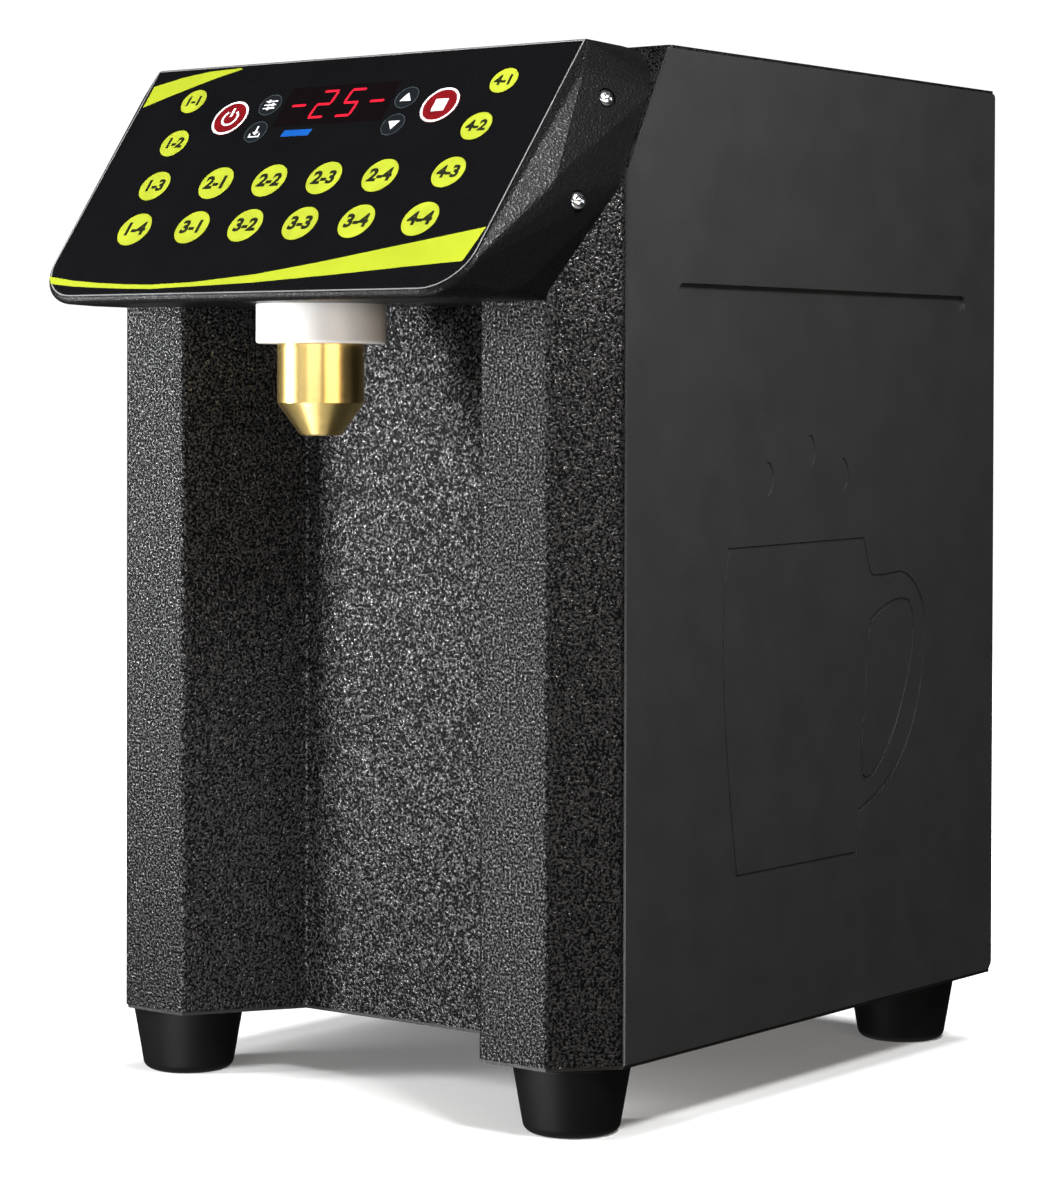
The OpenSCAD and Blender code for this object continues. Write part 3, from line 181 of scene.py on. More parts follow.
@dataclass(frozen=True)
class Finish:
    """A surface finish with relief, mottled shine and slight colour variation.

    Args:
        name: Name of the material.
        colour: Base colour, linear.
        roughness: Mean roughness.
        relief: Fine relief.
        metallic: 1 for bare metal.
        tint_swing: How far the colour varies over the surface, as a share.
        tint_size: Size of that variation, in millimetres.
        specular: Specular level.
        coat: Weight of a clear coat.
    """

    name: str
    colour: Colour
    roughness: float
    relief: Relief
    metallic: float = 0.0
    tint_swing: float = 0.1
    tint_size: float = 18.0
    specular: float = 0.5
    coat: float = 0.0

    def tinted(self, share: float) -> tuple[float, float, float, float]:
        """Returns the base colour made lighter or darker by a share."""
        r, g, b = (min(1.0, c * (1 + share)) for c in self.colour)
        return r, g, b, 1.0

    def colouring(self, tree: bpy.types.NodeTree,
                  relief: bpy.types.NodeSocket) -> bpy.types.NodeSocket:
        """Adds broad, faint clouds to the base colour.

        Args:
            tree: Node tree to add to.
            relief: The relief's height, not used here.

        Returns:
            The colour.
        """
        clouds = noise(tree, self.tint_size, CLOUD_OCTAVES)
        share = ramp(tree, clouds, NOISE_SPAN, 0.0, 1.0)
        return mix(tree, share, self.tinted(-self.tint_swing), self.tinted(self.tint_swing))

    def shine(self, tree: bpy.types.NodeTree,
              relief: bpy.types.NodeSocket) -> bpy.types.NodeSocket:
        """Returns the roughness, which follows the relief."""
        swing = self.relief.shine_swing
        return ramp(tree, relief, NOISE_SPAN, self.roughness + swing, self.roughness - swing)

    def height(self, tree: bpy.types.NodeTree) -> bpy.types.NodeSocket:
        """Returns the relief's height."""
        return noise(tree, self.relief.size, RELIEF_OCTAVES, self.relief.stretch)

    def make(self) -> bpy.types.Material:
        """Makes the finish's material on its first use.

        Returns:
            The material.
        """
        known = bpy.data.materials.get(self.name)
        if known:
            return known
        material = bpy.data.materials.new(self.name)
        material.use_nodes = True
        tree = material.node_tree
        shader = tree.nodes[PRINCIPLED]
        shader.inputs["Metallic"].default_value = self.metallic
        shader.inputs["Specular IOR Level"].default_value = self.specular
        shader.inputs["Coat Weight"].default_value = self.coat
        shader.inputs["Coat Roughness"].default_value = COAT_ROUGHNESS
        relief = self.height(tree)
        tree.links.new(self.colouring(tree, relief), shader.inputs["Base Color"])
        tree.links.new(self.shine(tree, relief), shader.inputs["Roughness"])
        bump = tree.nodes.new("ShaderNodeBump")
        bump.inputs["Distance"].default_value = self.relief.depth * MM
        tree.links.new(relief, bump.inputs["Height"])
        tree.links.new(bump.outputs["Normal"], shader.inputs["Normal"])
        return material


@dataclass(frozen=True)
class WrinkleCoat(Finish):
    """Baked powder coat with close, rounded wrinkles whose crests are painted lighter, as painted
    glints; where flakes turn a crest metallic, that colour is also its reflectance.

    Args:
        crest: Colour of a crest, painted lighter than the base as a painted glint.
        crest_from: Relief value above which a crest's painted glint shows.
        fold: Relief values between which a wrinkle rises, which sets how steep it is.
        flakes: How metallic a crest is.
        flake_span: Relief values between which it turns metallic.
    """

    # Crest colour: a painted glint, lighter than the base, where light would catch the wrinkles.
    crest: Colour = (0.05, 0.05, 0.052)
    crest_from: float = 0.62
    fold: Point = (0.36, 0.64)
    flakes: float = 0.0
    flake_span: Point = (0.3, 0.85)

    def colouring(self, tree: bpy.types.NodeTree,
                  relief: bpy.types.NodeSocket) -> bpy.types.NodeSocket:
        """Adds crests painted lighter, as painted glints, to the clouded base.

        Args:
            tree: Node tree to add to.
            relief: Height of the wrinkles.

        Returns:
            The colour.
        """
        base = super().colouring(tree, relief)
        # Mask of the painted glints: the higher the wrinkle, the more of the lighter crest colour.
        share = ramp(tree, relief, (self.crest_from, 1.0), 0.0, 1.0)
        return mix(tree, share, base, (*self.crest, 1.0))

    def height(self, tree: bpy.types.NodeTree) -> bpy.types.NodeSocket:
        """Returns the noise steepened into separate wrinkles."""
        return ramp(tree, super().height(tree), self.fold, 0.0, 1.0)

    def make(self) -> bpy.types.Material:
        """Makes the coat's material, with flakes of metal in its crests.

        Returns:
            The material.
        """
        material = super().make()
        tree = material.node_tree
        metal = tree.nodes[PRINCIPLED].inputs["Metallic"]
        if self.flakes and not metal.is_linked:
            share = ramp(tree, self.height(tree), self.flake_span, 0.0, self.flakes)
            tree.links.new(share, metal)
        return material


@dataclass(frozen=True)
class Lit(Finish):
    """A lit segment or lamp, or a print given a painted glow.

    Args:
        glow: Strength of its light.
    """

    glow: float = 2.0

    def make(self) -> bpy.types.Material:
        """Makes the finish's material, which also shines.

        Returns:
            The material.
        """
        material = super().make()
        shader = material.node_tree.nodes[PRINCIPLED]
        shader.inputs["Emission Color"].default_value = (*self.colour, 1.0)
        shader.inputs["Emission Strength"].default_value = self.glow
        return material


@dataclass(frozen=True)
class StudioFloor(Finish):
    """Pale floor that turns into a plain white backdrop away from the dispenser.

    Args:
        near: Radius where the backdrop's light starts, in metres.
        far: Radius from which the floor is plain white, in metres.
        base_glow: Light of the floor near the dispenser.
    """

    near: float = 0.3
    far: float = 0.95
    base_glow: float = 0.12

    def make(self) -> bpy.types.Material:
        """Makes the floor's material, which shines more with the distance.

        Returns:
            The material.
        """
        material = super().make()
        tree = material.node_tree
        place = tree.nodes.new("ShaderNodeTexCoord")
        reach = tree.nodes.new("ShaderNodeVectorMath")
        reach.operation = "LENGTH"
        tree.links.new(place.outputs["Object"], reach.inputs[0])
        glow = ramp(tree, reach.outputs["Value"], (self.near, self.far), self.base_glow,
                    WHITE_GLOW)
        shader = tree.nodes[PRINCIPLED]
        shader.inputs["Emission Color"].default_value = WHITE
        tree.links.new(glow, shader.inputs["Emission Strength"])
        return material


class Coat:
    """The dispenser's finishes, by the record's slot where there is one."""

    FINE = Relief(0.5, 0.01)
    MOULDED = Relief(0.35, 0.006, shine_swing=0.04)
    BRUSHED = Relief(0.5, 0.006, stretch=(1.0, 1.0, 0.03), shine_swing=0.12)
    TURNED = Relief(0.9, 0.0006, stretch=(0.002, 0.002, 1.0), shine_swing=0.01)

    SLOTS: dict[str, Finish] = {
        # The coats below paint their wrinkle crests lighter, as painted glints; where flakes is
        # set, those crests also turn metallic.
        "wrinkle_black": WrinkleCoat("wrinkle black coat", (0.0024, 0.0024, 0.0027), 0.24,
                                     Relief(1.05, 0.3, shine_swing=0.03), specular=0.04,
                                     crest=(0.11, 0.11, 0.112), crest_from=0.35, fold=(0.3, 0.74),
                                     flakes=1.0),
        "black_sheet": WrinkleCoat("plain black coat", (0.011, 0.011, 0.0115), 0.5,
                                   Relief(1.3, 0.06), crest=(0.02, 0.02, 0.02)),
        "side_grey": WrinkleCoat("side grey coat", (0.028, 0.0282, 0.029), 0.44,
                                 Relief(0.9, 0.05), crest=(0.036, 0.036, 0.037), fold=(0.2, 0.8)),
        "console_black": WrinkleCoat("console coat", (0.004, 0.004, 0.0043), 0.36,
                                     Relief(1.0, 0.13, shine_swing=0.05), specular=0.12,
                                     crest=(0.05, 0.05, 0.051), crest_from=0.5, fold=(0.3, 0.74),
                                     flakes=1.0),
        "keypad_black": Finish("keypad film", (0.0035, 0.0035, 0.0042), 0.3, Relief(0.6, 0.002),
                               specular=0.3),
        "display_red": Finish("display glass", (0.0036, 0.002, 0.0025), 0.24, Relief(3.0, 0.001),
                              specular=0.3),
        "key_yellow": Finish("yellow key film", (0.36, 0.415, 0.026), 0.42, MOULDED, tint_swing=0.1,
                             tint_size=9.0),
        "key_red": Finish("red key film", (0.16, 0.003, 0.006), 0.36, MOULDED, tint_swing=0.2,
                          tint_size=7.0),
        "key_dark": Finish("dark key film", (0.007, 0.009, 0.011), 0.34, MOULDED),
        "white_plastic": Finish("white collar plastic", (0.88, 0.87, 0.85), 0.3, MOULDED,
                                tint_swing=0.02),
        "brass": Finish("turned brass", (0.9, 0.66, 0.24), 0.26, TURNED, metallic=1.0,
                        tint_swing=0.06, tint_size=5.0),
        "steel": Finish("bright steel", (0.72, 0.73, 0.75), 0.22, FINE, metallic=1.0),
        "tank_steel": Finish("brushed steel", (0.62, 0.63, 0.65), 0.3, BRUSHED, metallic=1.0),
        "motor_steel": Finish("plated motor can", (0.36, 0.37, 0.39), 0.38, BRUSHED, metallic=1.0),
        "aluminium": Finish("machined aluminium", (0.66, 0.67, 0.69), 0.34, FINE, metallic=1.0),
        "black_plastic": Finish("black plastic", (0.014, 0.014, 0.015), 0.45, MOULDED),
        "board_green": Finish("circuit board", (0.015, 0.16, 0.055), 0.35, Relief(1.2, 0.02),
                              tint_swing=0.3, tint_size=4.0),
        "hose": Finish("silicone hose", (0.72, 0.7, 0.62), 0.42, MOULDED, coat=0.2),
        "heater_orange": Finish("heating pad", (0.5, 0.1, 0.03), 0.55, Relief(1.6, 0.05)),
        "gasket": Finish("silicone gasket", (0.7, 0.68, 0.64), 0.5, MOULDED),
        "foot_rubber": Finish("foot rubber", (0.003, 0.003, 0.0032), 0.5, Relief(0.7, 0.03),
                              specular=0.18),
    }
    LEGEND_DARK = Finish("dark legend ink", (0.009, 0.011, 0.004), 0.5, MOULDED, specular=0.3)
    LEGEND_WHITE = Finish("white legend ink", (0.8, 0.81, 0.83), 0.45, MOULDED, tint_swing=0.03)
    STRIPE = Finish("yellow stripe ink", (0.35, 0.41, 0.02), 0.4, MOULDED, tint_swing=0.06)
    # Painted shade: the dark rings round the raised keys and the dark line in the film's groove.
    PAINTED_SHADE = Finish("painted shade", (0.001, 0.001, 0.0012), 0.5, MOULDED, specular=0.2)
    # Painted highlight: the lighter ring where light catches the raised rim of a small key.
    KEY_RIM = Finish("grey key rim", (0.035, 0.045, 0.052), 0.35, MOULDED)
    # Painted highlight: the bright line where light catches the rounded edge of the film's seat.
    SEAT_HIGHLIGHT = Finish("painted highlight on the film seat's edge", (0.22, 0.22, 0.225), 0.35, Relief(0.8, 0.05))
    SEGMENT = Lit("lit red segment", (0.55, 0.006, 0.02), 0.4, MOULDED, glow=0.75)
    # The blue print glows a little though it is no lamp: painted light on a printed bar.
    BLUE_BAR_GLOW = Lit("blue bar print with painted glow", (0.004, 0.075, 0.34), 0.4, MOULDED, glow=0.12)
    FLOOR = StudioFloor("pale floor", (0.86, 0.86, 0.86), 0.8, Relief(4.0, 0.01), tint_swing=0.0,
                        specular=0.1)


# ---------- Places ----------


@dataclass(frozen=True)
class Casing:
    """Sizes of the casing that the dressed pieces stand on.

    Args:
        front_y: Y of the casing's front.
        floor_z: Height of the casing's underside above the table.
        depth: Depth of the casing.
        height: Height of the casing.
        slope_z: Height in the casing where the sloping front starts.
        slope_d: How far the slope runs back.
        face_angle: Angle between the keypad face and the table, in degrees.
        face_y: Y of the face's top edge in the casing.
        face_z: Height of that edge in the casing.
    """

    front_y: float = -129.155282
    floor_z: float = 30.0
    depth: float = 310.0
    height: float = 400.0
    slope_z: float = 302.0
    slope_d: float = 52.5
    face_angle: float = 52.4
    face_y: float = 21.3
    face_z: float = 400.025363

    @property
    def slope_angle(self) -> float:
        """Angle between the sloping front and the floor, in degrees."""
        return math.degrees(math.atan2(self.height - self.slope_z, self.slope_d))

    def at(self, x: float, y: float, z: float) -> Matrix:
        """Returns the place of a point in casing sizes, in millimetres."""
        return Matrix.Translation((x, y + self.front_y, z + self.floor_z))

    def on_face(self, x: float = 0.0, s: float = 0.0, h: float = 0.0) -> Matrix:
        """Returns the place on the keypad face.

        Args:
            x: Distance from the middle.
            s: Distance from the face's top edge.
            h: Height above the face.

        Returns:
            A matrix with X across, Y up the face and Z out of it.
        """
        tilt = Matrix.Rotation(math.radians(self.face_angle), 4, "X")
        return self.at(0, self.face_y, self.face_z) @ tilt @ Matrix.Translation((x, -s, h))

    def on_slope(self, x: float, t: float, g: float) -> Matrix:
        """Returns the place on the sloping front: x across, t up it and g out of it."""
        tilt = Matrix.Rotation(math.radians(self.slope_angle), 4, "X")
        return self.at(0, 0, self.slope_z) @ tilt @ Matrix.Translation((x, t, g))


CASING = Casing()


# ---------- Making pieces ----------


def finish_piece(piece: bpy.types.Object, finish: Finish, body: str) -> bpy.types.Object:
    """Gives a piece its material and the body it rides on.

    Args:
        piece: The new piece.
        finish: Its finish.
        body: The body that carries it.

    Returns:
        The piece.
    """
    piece.data.materials.clear()
    piece.data.materials.append(finish.make())
    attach(piece, body)
    return piece


def placed_mesh(name: str, mesh: bpy.types.Mesh, place: Matrix) -> bpy.types.Object:
    """Links a mesh in millimetres as an object, with its place worked into the mesh.

    Args:
        name: Name of the piece.
        mesh: Mesh in its own millimetres.
        place: Where it goes.

    Returns:
        The object, at the origin.
    """
    mesh.transform(Matrix.Scale(MM, 4) @ place)
    mesh.update()
    piece = bpy.data.objects.new(name, mesh)
    bpy.context.scene.collection.objects.link(piece)
    return piece


def smooth_by_angle(mesh: bpy.types.Mesh, degrees: float = 35.0) -> None:
    """Shades a mesh smooth apart from edges sharper than an angle."""
    mesh.shade_smooth()
    mesh.set_sharp_from_angle(angle=math.radians(degrees))


def mesh_from(work: bmesh.types.BMesh, name: str) -> bpy.types.Mesh:
    """Turns an edited mesh into a named one and frees it.

    Args:
        work: The edited mesh.
        name: Name of the new mesh.

    Returns:
        The mesh.
    """
    mesh = bpy.data.meshes.new(name)
    work.to_mesh(mesh)
    work.free()
    return mesh


def evaluated_mesh(carrier: bpy.types.Object) -> bpy.types.Mesh:
    """Takes the evaluated shape of an object and removes the object.

    Args:
        carrier: An object in the scene.

    Returns:
        The mesh.
    """
    bpy.context.view_layer.update()
    graph = bpy.context.evaluated_depsgraph_get()
    mesh = bpy.data.meshes.new_from_object(carrier.evaluated_get(graph))
    bpy.data.objects.remove(carrier)
    return mesh


def inlay(name: str, patches: Iterable[Patch], place: Matrix, thickness: float) -> bpy.types.Object:
    """Makes flat patches with a little thickness.

    Args:
        name: Name of the piece.
        patches: Points and faces of each patch.
        place: Plane of the patches' underside.
        thickness: Height of the patches.

    Returns:
        The object.
    """
    work = bmesh.new()
    for points, faces in patches:
        corners = [work.verts.new((x, y, 0.0)) for x, y in points]
        for face in faces:
            work.faces.new([corners[i] for i in face])
    bmesh.ops.recalc_face_normals(work, faces=work.faces)
    grown = bmesh.ops.extrude_face_region(work, geom=work.faces[:])
    tops = [item for item in grown["geom"] if isinstance(item, bmesh.types.BMVert)]
    bmesh.ops.translate(work, verts=tops, vec=(0, 0, thickness))
    bmesh.ops.recalc_face_normals(work, faces=work.faces)
    return placed_mesh(name, mesh_from(work, name), place)


def polygon(points: Sequence[Point]) -> Patch:
    """Returns one outline as a patch."""
    return list(points), [tuple(range(len(points)))]


def disc(x: float, y: float, r: float, steps: int = 48) -> Patch:
    """Returns a round patch."""
    turns = [2 * math.pi * k / steps for k in range(steps)]
    return polygon([(x + r * math.cos(turn), y + r * math.sin(turn)) for turn in turns])


def band(inner: float, outer: float, start: float = 0.0, end: float = 360.0,
         steps: int = 72) -> Patch:
    """Returns a ring, or part of one.

    Args:
        inner: Inner radius.
        outer: Outer radius.
        start: First angle in degrees.
        end: Last angle in degrees.
        steps: Number of quads.

    Returns:
        The patch.
    """
    closed = end - start >= 360.0
    count = steps if closed else steps + 1
    points: list[Point] = []
    for k in range(count):
        turn = math.radians(start + (end - start) * k / steps)
        points += [(inner * math.cos(turn), inner * math.sin(turn)),
                   (outer * math.cos(turn), outer * math.sin(turn))]
    faces = [(2 * k, 2 * k + 1, (2 * k + 3) % (2 * count), (2 * k + 2) % (2 * count))
             for k in range(steps)]
    return points, faces


def bar(x0: float, y0: float, x1: float, y1: float) -> Patch:
    """Returns a rectangle between two corners."""
    return polygon([(x0, y0), (x1, y0), (x1, y1), (x0, y1)])


def lettering(name: str, words: str, height: float, place: Matrix,
              thickness: float) -> bpy.types.Object:
    """Makes raised figures.

    Args:
        name: Name of the piece.
        words: The figures.
        height: Height of a figure, in millimetres.
        place: Plane of the figures' underside, at their middle.
        thickness: How far they stand out.

    Returns:
        The object.
    """
    curve = bpy.data.curves.new(name, "FONT")
    curve.body = words
    curve.size = height / CAP_SHARE
    curve.align_x = "CENTER"
    curve.align_y = "CENTER"
    curve.extrude = thickness / 2
    curve.offset = height * BOLD_SHARE
    curve.resolution_u = 4
    carrier = bpy.data.objects.new(name + "_line", curve)
    bpy.context.scene.collection.objects.link(carrier)
    mesh = evaluated_mesh(carrier)
    mesh.name = name
    return placed_mesh(name, mesh, place @ Matrix.Translation((0, 0, thickness / 2)))


def lathe(profile: Sequence[Point], steps: int = 48) -> bpy.types.Mesh:
    """Turns a profile of (radius, height) points about Z.

    Args:
        profile: Points from the axis round to the axis.
        steps: Number of sides.

    Returns:
        The mesh.
    """
    work = bmesh.new()
    line = [work.verts.new((r, 0.0, z)) for r, z in profile]
    edges = [work.edges.new(pair) for pair in zip(line, line[1:])]
    bmesh.ops.spin(work, geom=line + edges, cent=(0, 0, 0), axis=(0, 0, 1),
                   angle=2 * math.pi, steps=steps, use_merge=True)
    bmesh.ops.remove_doubles(work, verts=work.verts, dist=1e-5)
    bmesh.ops.recalc_face_normals(work, faces=work.faces)
    return mesh_from(work, "turned")


# ---------- Casing ----------


@dataclass
class SolidParts:
    """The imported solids, each dressed with its slot's finish.

    Args:
        smooth_angle: Edges sharper than this stay sharp, in degrees.
        shell: The node whose flanks run into each other without an edge.
        shell_angle: Its own limit for a sharp edge, in degrees.
    """

    smooth_angle: float = 28.0
    shell: str = "console_housing"
    shell_angle: float = 52.0

    def build(self) -> int:
        """Dresses every node.

        Returns:
            The number of nodes.
        """
        slots = {part["node"]: part["material_slot"] for part in frame["record"]["subparts"]}
        for name, node in frame["nodes"].items():
            node.data.materials.clear()
            node.data.materials.append(Coat.SLOTS[slots[name]].make())
            angle = self.shell_angle if name == self.shell else self.smooth_angle
            smooth_by_angle(node.data, angle)
        return len(slots)


@dataclass
class CrossScrews:
    """Pan-head screws with a cross recess.

    Args:
        name: Name of the piece.
        node: Solid that it replaces.
        head_d: Head diameter.
        shank_d: Shank diameter.
        length: Length under the head.
        places: Where the heads sit, with Z out of the surface.
        recess_w: Width of a slot of the recess.
        recess_share: Reach of a slot as a share of the head's radius.
        recess_floor: Height of its floor as a share of the head's height.
        head_share: Height of the head as a share of its diameter.
        rim_share: Height of its upright rim as a share of its height.
        dome: Angles of the dome's points from the axis, in degrees.
    """

    name: str
    node: str
    head_d: float
    shank_d: float
    length: float
    places: list[Matrix]
    recess_w: float = 0.95
    recess_share: float = 0.62
    recess_floor: float = 0.35
    head_share: float = 0.4
    rim_share: float = 0.42
    dome: tuple[float, ...] = (75, 60, 45, 30, 15)

    def head(self) -> bpy.types.Mesh:
        """Turns one screw and cuts its recess.

        Returns:
            The mesh, with the head's underside at its origin.
        """
        r = self.head_d / 2
        h = self.head_d * self.head_share
        rim = h * self.rim_share
        profile = [(0.0, -self.length), (self.shank_d / 2, -self.length), (self.shank_d / 2, 0.0),
                   (r, 0.0), (r, rim)]
        profile += [(r * math.sin(a), rim + (h - rim) * math.cos(a))
                    for a in map(math.radians, self.dome)]
        blank = bpy.data.objects.new("blank", lathe(profile + [(0.0, h)]))
        reach = r * self.recess_share
        w = self.recess_w / 2
        cross = [(reach, w), (w, w), (w, reach), (-w, reach), (-w, w), (-reach, w),
                 (-reach, -w), (-w, -w), (-w, -reach), (w, -reach), (w, -w), (reach, -w)]
        sunk = Matrix.Translation((0, 0, h * self.recess_floor))
        cutter = inlay("cutter", [polygon(cross)], sunk, h)
        cutter.data.transform(Matrix.Scale(1 / MM, 4))
        bpy.context.scene.collection.objects.link(blank)
        cut = blank.modifiers.new("recess", "BOOLEAN")
        cut.object = cutter
        cut.solver = "EXACT"
        mesh = evaluated_mesh(blank)
        bpy.data.objects.remove(cutter)
        return mesh

    def build(self) -> bpy.types.Object:
        """Makes all the screws as one piece that replaces its node.

        Returns:
            The piece.
        """
        head = self.head()
        work = bmesh.new()
        for place in self.places:
            copy = head.copy()
            copy.transform(place)
            work.from_mesh(copy)
            bpy.data.meshes.remove(copy)
        piece = placed_mesh(self.name, mesh_from(work, self.name), Matrix.Identity(4))
        smooth_by_angle(piece.data)
        finish_piece(piece, Coat.SLOTS["steel"], FIXED_BODY)
        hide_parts(self.node)
        return piece


def console_screw_places() -> list[Matrix]:
    """Finds the seats of the four flank screws.

    Returns:
        Their places, with Z out of the flank.
    """
    places = []
    for side in (-1, 1):
        for along, out, turn, across in FLANK_SEATS:
            lean = Matrix.Rotation(side * math.radians(90 - turn), 4, "Y")
            places.append(CASING.on_slope(side * across, along, out) @ lean)
    return places


def rear_screw_places() -> list[Matrix]:
    """Returns the seats of the six rear panel screws."""
    back = Matrix.Rotation(math.radians(-90), 4, "X")
    return [CASING.at(side * REAR_SEAT_X, CASING.depth, z) @ back
            for side in (-1, 1) for z in REAR_SEAT_HEIGHTS]


# ---------- Keypad ----------


@dataclass(frozen=True)
class Key:
    """One key.

    Args:
        name: Name of its node.
        x: Distance of its middle from the face's middle.
        s: Distance of its middle from the face's top edge.
        d: Its diameter.
    """

    name: str
    x: float
    s: float
    d: float

    @property
    def body(self) -> str:
        """Name of the body that the key belongs to."""
        return self.name + "_body"

    @property
    def label(self) -> str:
        """Name without its prefix, for the pieces on it."""
        return self.name.removeprefix("key_")

    def top(self, lift: float = 0.0) -> Matrix:
        """Returns the place of the key's top."""
        return CASING.on_face(self.x, self.s, lift)


class Symbol(Enum):
    """Plain marks of the control keys."""

    POWER = "key_power"
    STOP = "key_stop"
    SET = "key_set"
    SAVE = "key_save"
    UP = "key_up"
    DOWN = "key_down"


@dataclass
class Keys:
    """Legends of all the keys.

    Args:
        ink: Height of the printed ink.
        row: Distance between rows.
        column: Distance between the middle columns.
        first_row: Distance of the first row from the face's top edge.
        side_x: Distance of a side column's first key from the middle.
        side_lean: How much nearer to the middle each next key of it stands.
        key_d: Diameter of a full-sized key.
        side_d: Diameter of a side column's first key.
        side_growth: How much larger the next ones are, up to the third.
        figure_share: Height of the figures as a share of the key's diameter.
        shade_ring: Inner and outer distance of the painted shade ring from the key's edge.
        large_rim: How far the edges of a large key's rim stand in from the key's edge.
        small_rim_highlight: The same for the painted highlight ring on a small key.
    """

    ink: float = 0.05
    row: float = 23.6
    column: float = 29.2
    first_row: float = 18.5
    side_x: float = 83.2
    side_lean: float = 2.4
    key_d: float = 17.0
    side_d: float = 13.0
    side_growth: float = 1.3
    figure_share: float = 0.37
    shade_ring: Point = (0.12, 0.8)
    large_rim: Point = (1.15, 0.1)
    small_rim_highlight: Point = (0.45, 0.05)

    def numbered(self) -> list[Key]:
        """Lays out the sixteen numbered keys.

        Returns:
            The side columns' keys, then those of the two middle rows.
        """
        keys = []
        for group, side in ((1, -1), (4, 1)):
            for n in range(4):
                width = self.key_d if n == 3 else self.side_d + self.side_growth * n
                x = side * (self.side_x - self.side_lean * n)
                keys.append(Key(f"key_{group}_{n + 1}", x, self.first_row + self.row * n, width))
        for group in (2, 3):
            s = self.first_row + self.row * group
            keys += [Key(f"key_{group}_{n + 1}", (n - 1.5) * self.column, s, self.key_d)
                     for n in range(4)]
        return keys

    def control(self) -> dict[Symbol, Key]:
        """Lays out the six control keys.

        Returns:
            The keys by their marks.
        """
        rows = ((Symbol.POWER, -56.2, 29.5, 18.4), (Symbol.STOP, 56.2, 29.5, 18.4),
                (Symbol.SET, -37.0, 23.5, 11.6), (Symbol.SAVE, -37.0, 38.3, 11.6),
                (Symbol.UP, 36.6, 24.3, 11.6), (Symbol.DOWN, 36.6, 38.7, 11.6))
        return {symbol: Key(symbol.value, x, s, d) for symbol, x, s, d in rows}

    def mark(self, symbol: Symbol) -> list[Patch]:
        """Draws the mark of a control key.

        Args:
            symbol: Which mark.

        Returns:
            Its patches, about the key's middle.
        """
        if symbol is Symbol.POWER:
            return [band(3.3, 4.4, 125, 415, 40), bar(-0.6, 0.6, 0.6, 5.4)]
        if symbol is Symbol.STOP:
            return [bar(-3.2, -3.2, 3.2, 3.2)]
        if symbol is Symbol.SET:
            return [patch for x, y in ((-1.2, 1.9), (1.4, 0.0), (-0.4, -1.9))
                    for patch in (bar(-3.2, y - 0.3, 3.2, y + 0.3), disc(x, y, 0.95, 20))]
        if symbol is Symbol.SAVE:
            return [bar(-0.45, -0.2, 0.45, 3.0),
                    polygon([(-1.7, -0.1), (1.7, -0.1), (0.0, -1.8)]),
                    bar(-2.9, -3.0, 2.9, -2.4),
                    bar(-2.9, -2.4, -2.3, -0.9), bar(2.3, -2.4, 2.9, -0.9)]
        flip = 1 if symbol is Symbol.UP else -1
        return [polygon([(-2.9, -1.9 * flip), (2.9, -1.9 * flip), (0.0, 2.6 * flip)])]

    def build(self) -> int:
        """Makes the figures, marks and printed rings, with painted shade round each numbered key
        and a painted highlight ring on each small key.

        Returns:
            The number of keys.
        """
        numbered, control = self.numbered(), self.control()
        for key in numbered:
            r = key.d / 2
            piece = lettering(f"figures_{key.label}", key.label.replace("_", "-"),
                              key.d * self.figure_share, key.top(), self.ink)
            finish_piece(piece, Coat.LEGEND_DARK, key.body)
            # A ring of painted shade round each numbered key, where the raised key shades the film.
            ring = inlay(f"halo_{key.label}", [band(r + self.shade_ring[0], r + self.shade_ring[1])],
                         key.top(), self.ink)
            finish_piece(ring, Coat.PAINTED_SHADE, FIXED_BODY)
        for symbol, key in control.items():
            r = key.d / 2
            piece = inlay(f"mark_{key.label}", self.mark(symbol), key.top(self.ink / 2), self.ink)
            finish_piece(piece, Coat.LEGEND_WHITE, key.body)
            large = symbol in (Symbol.POWER, Symbol.STOP)
            # A large key's ring is printed white; a small key's ring is a painted highlight on its
            # raised rim.
            rim = self.large_rim if large else self.small_rim_highlight
            ring = inlay(f"ring_{key.label}", [band(r - rim[0], r - rim[1])], key.top(), self.ink)
            finish_piece(ring, Coat.LEGEND_WHITE if large else Coat.KEY_RIM,
                         key.body)
        return len(numbered) + len(control)


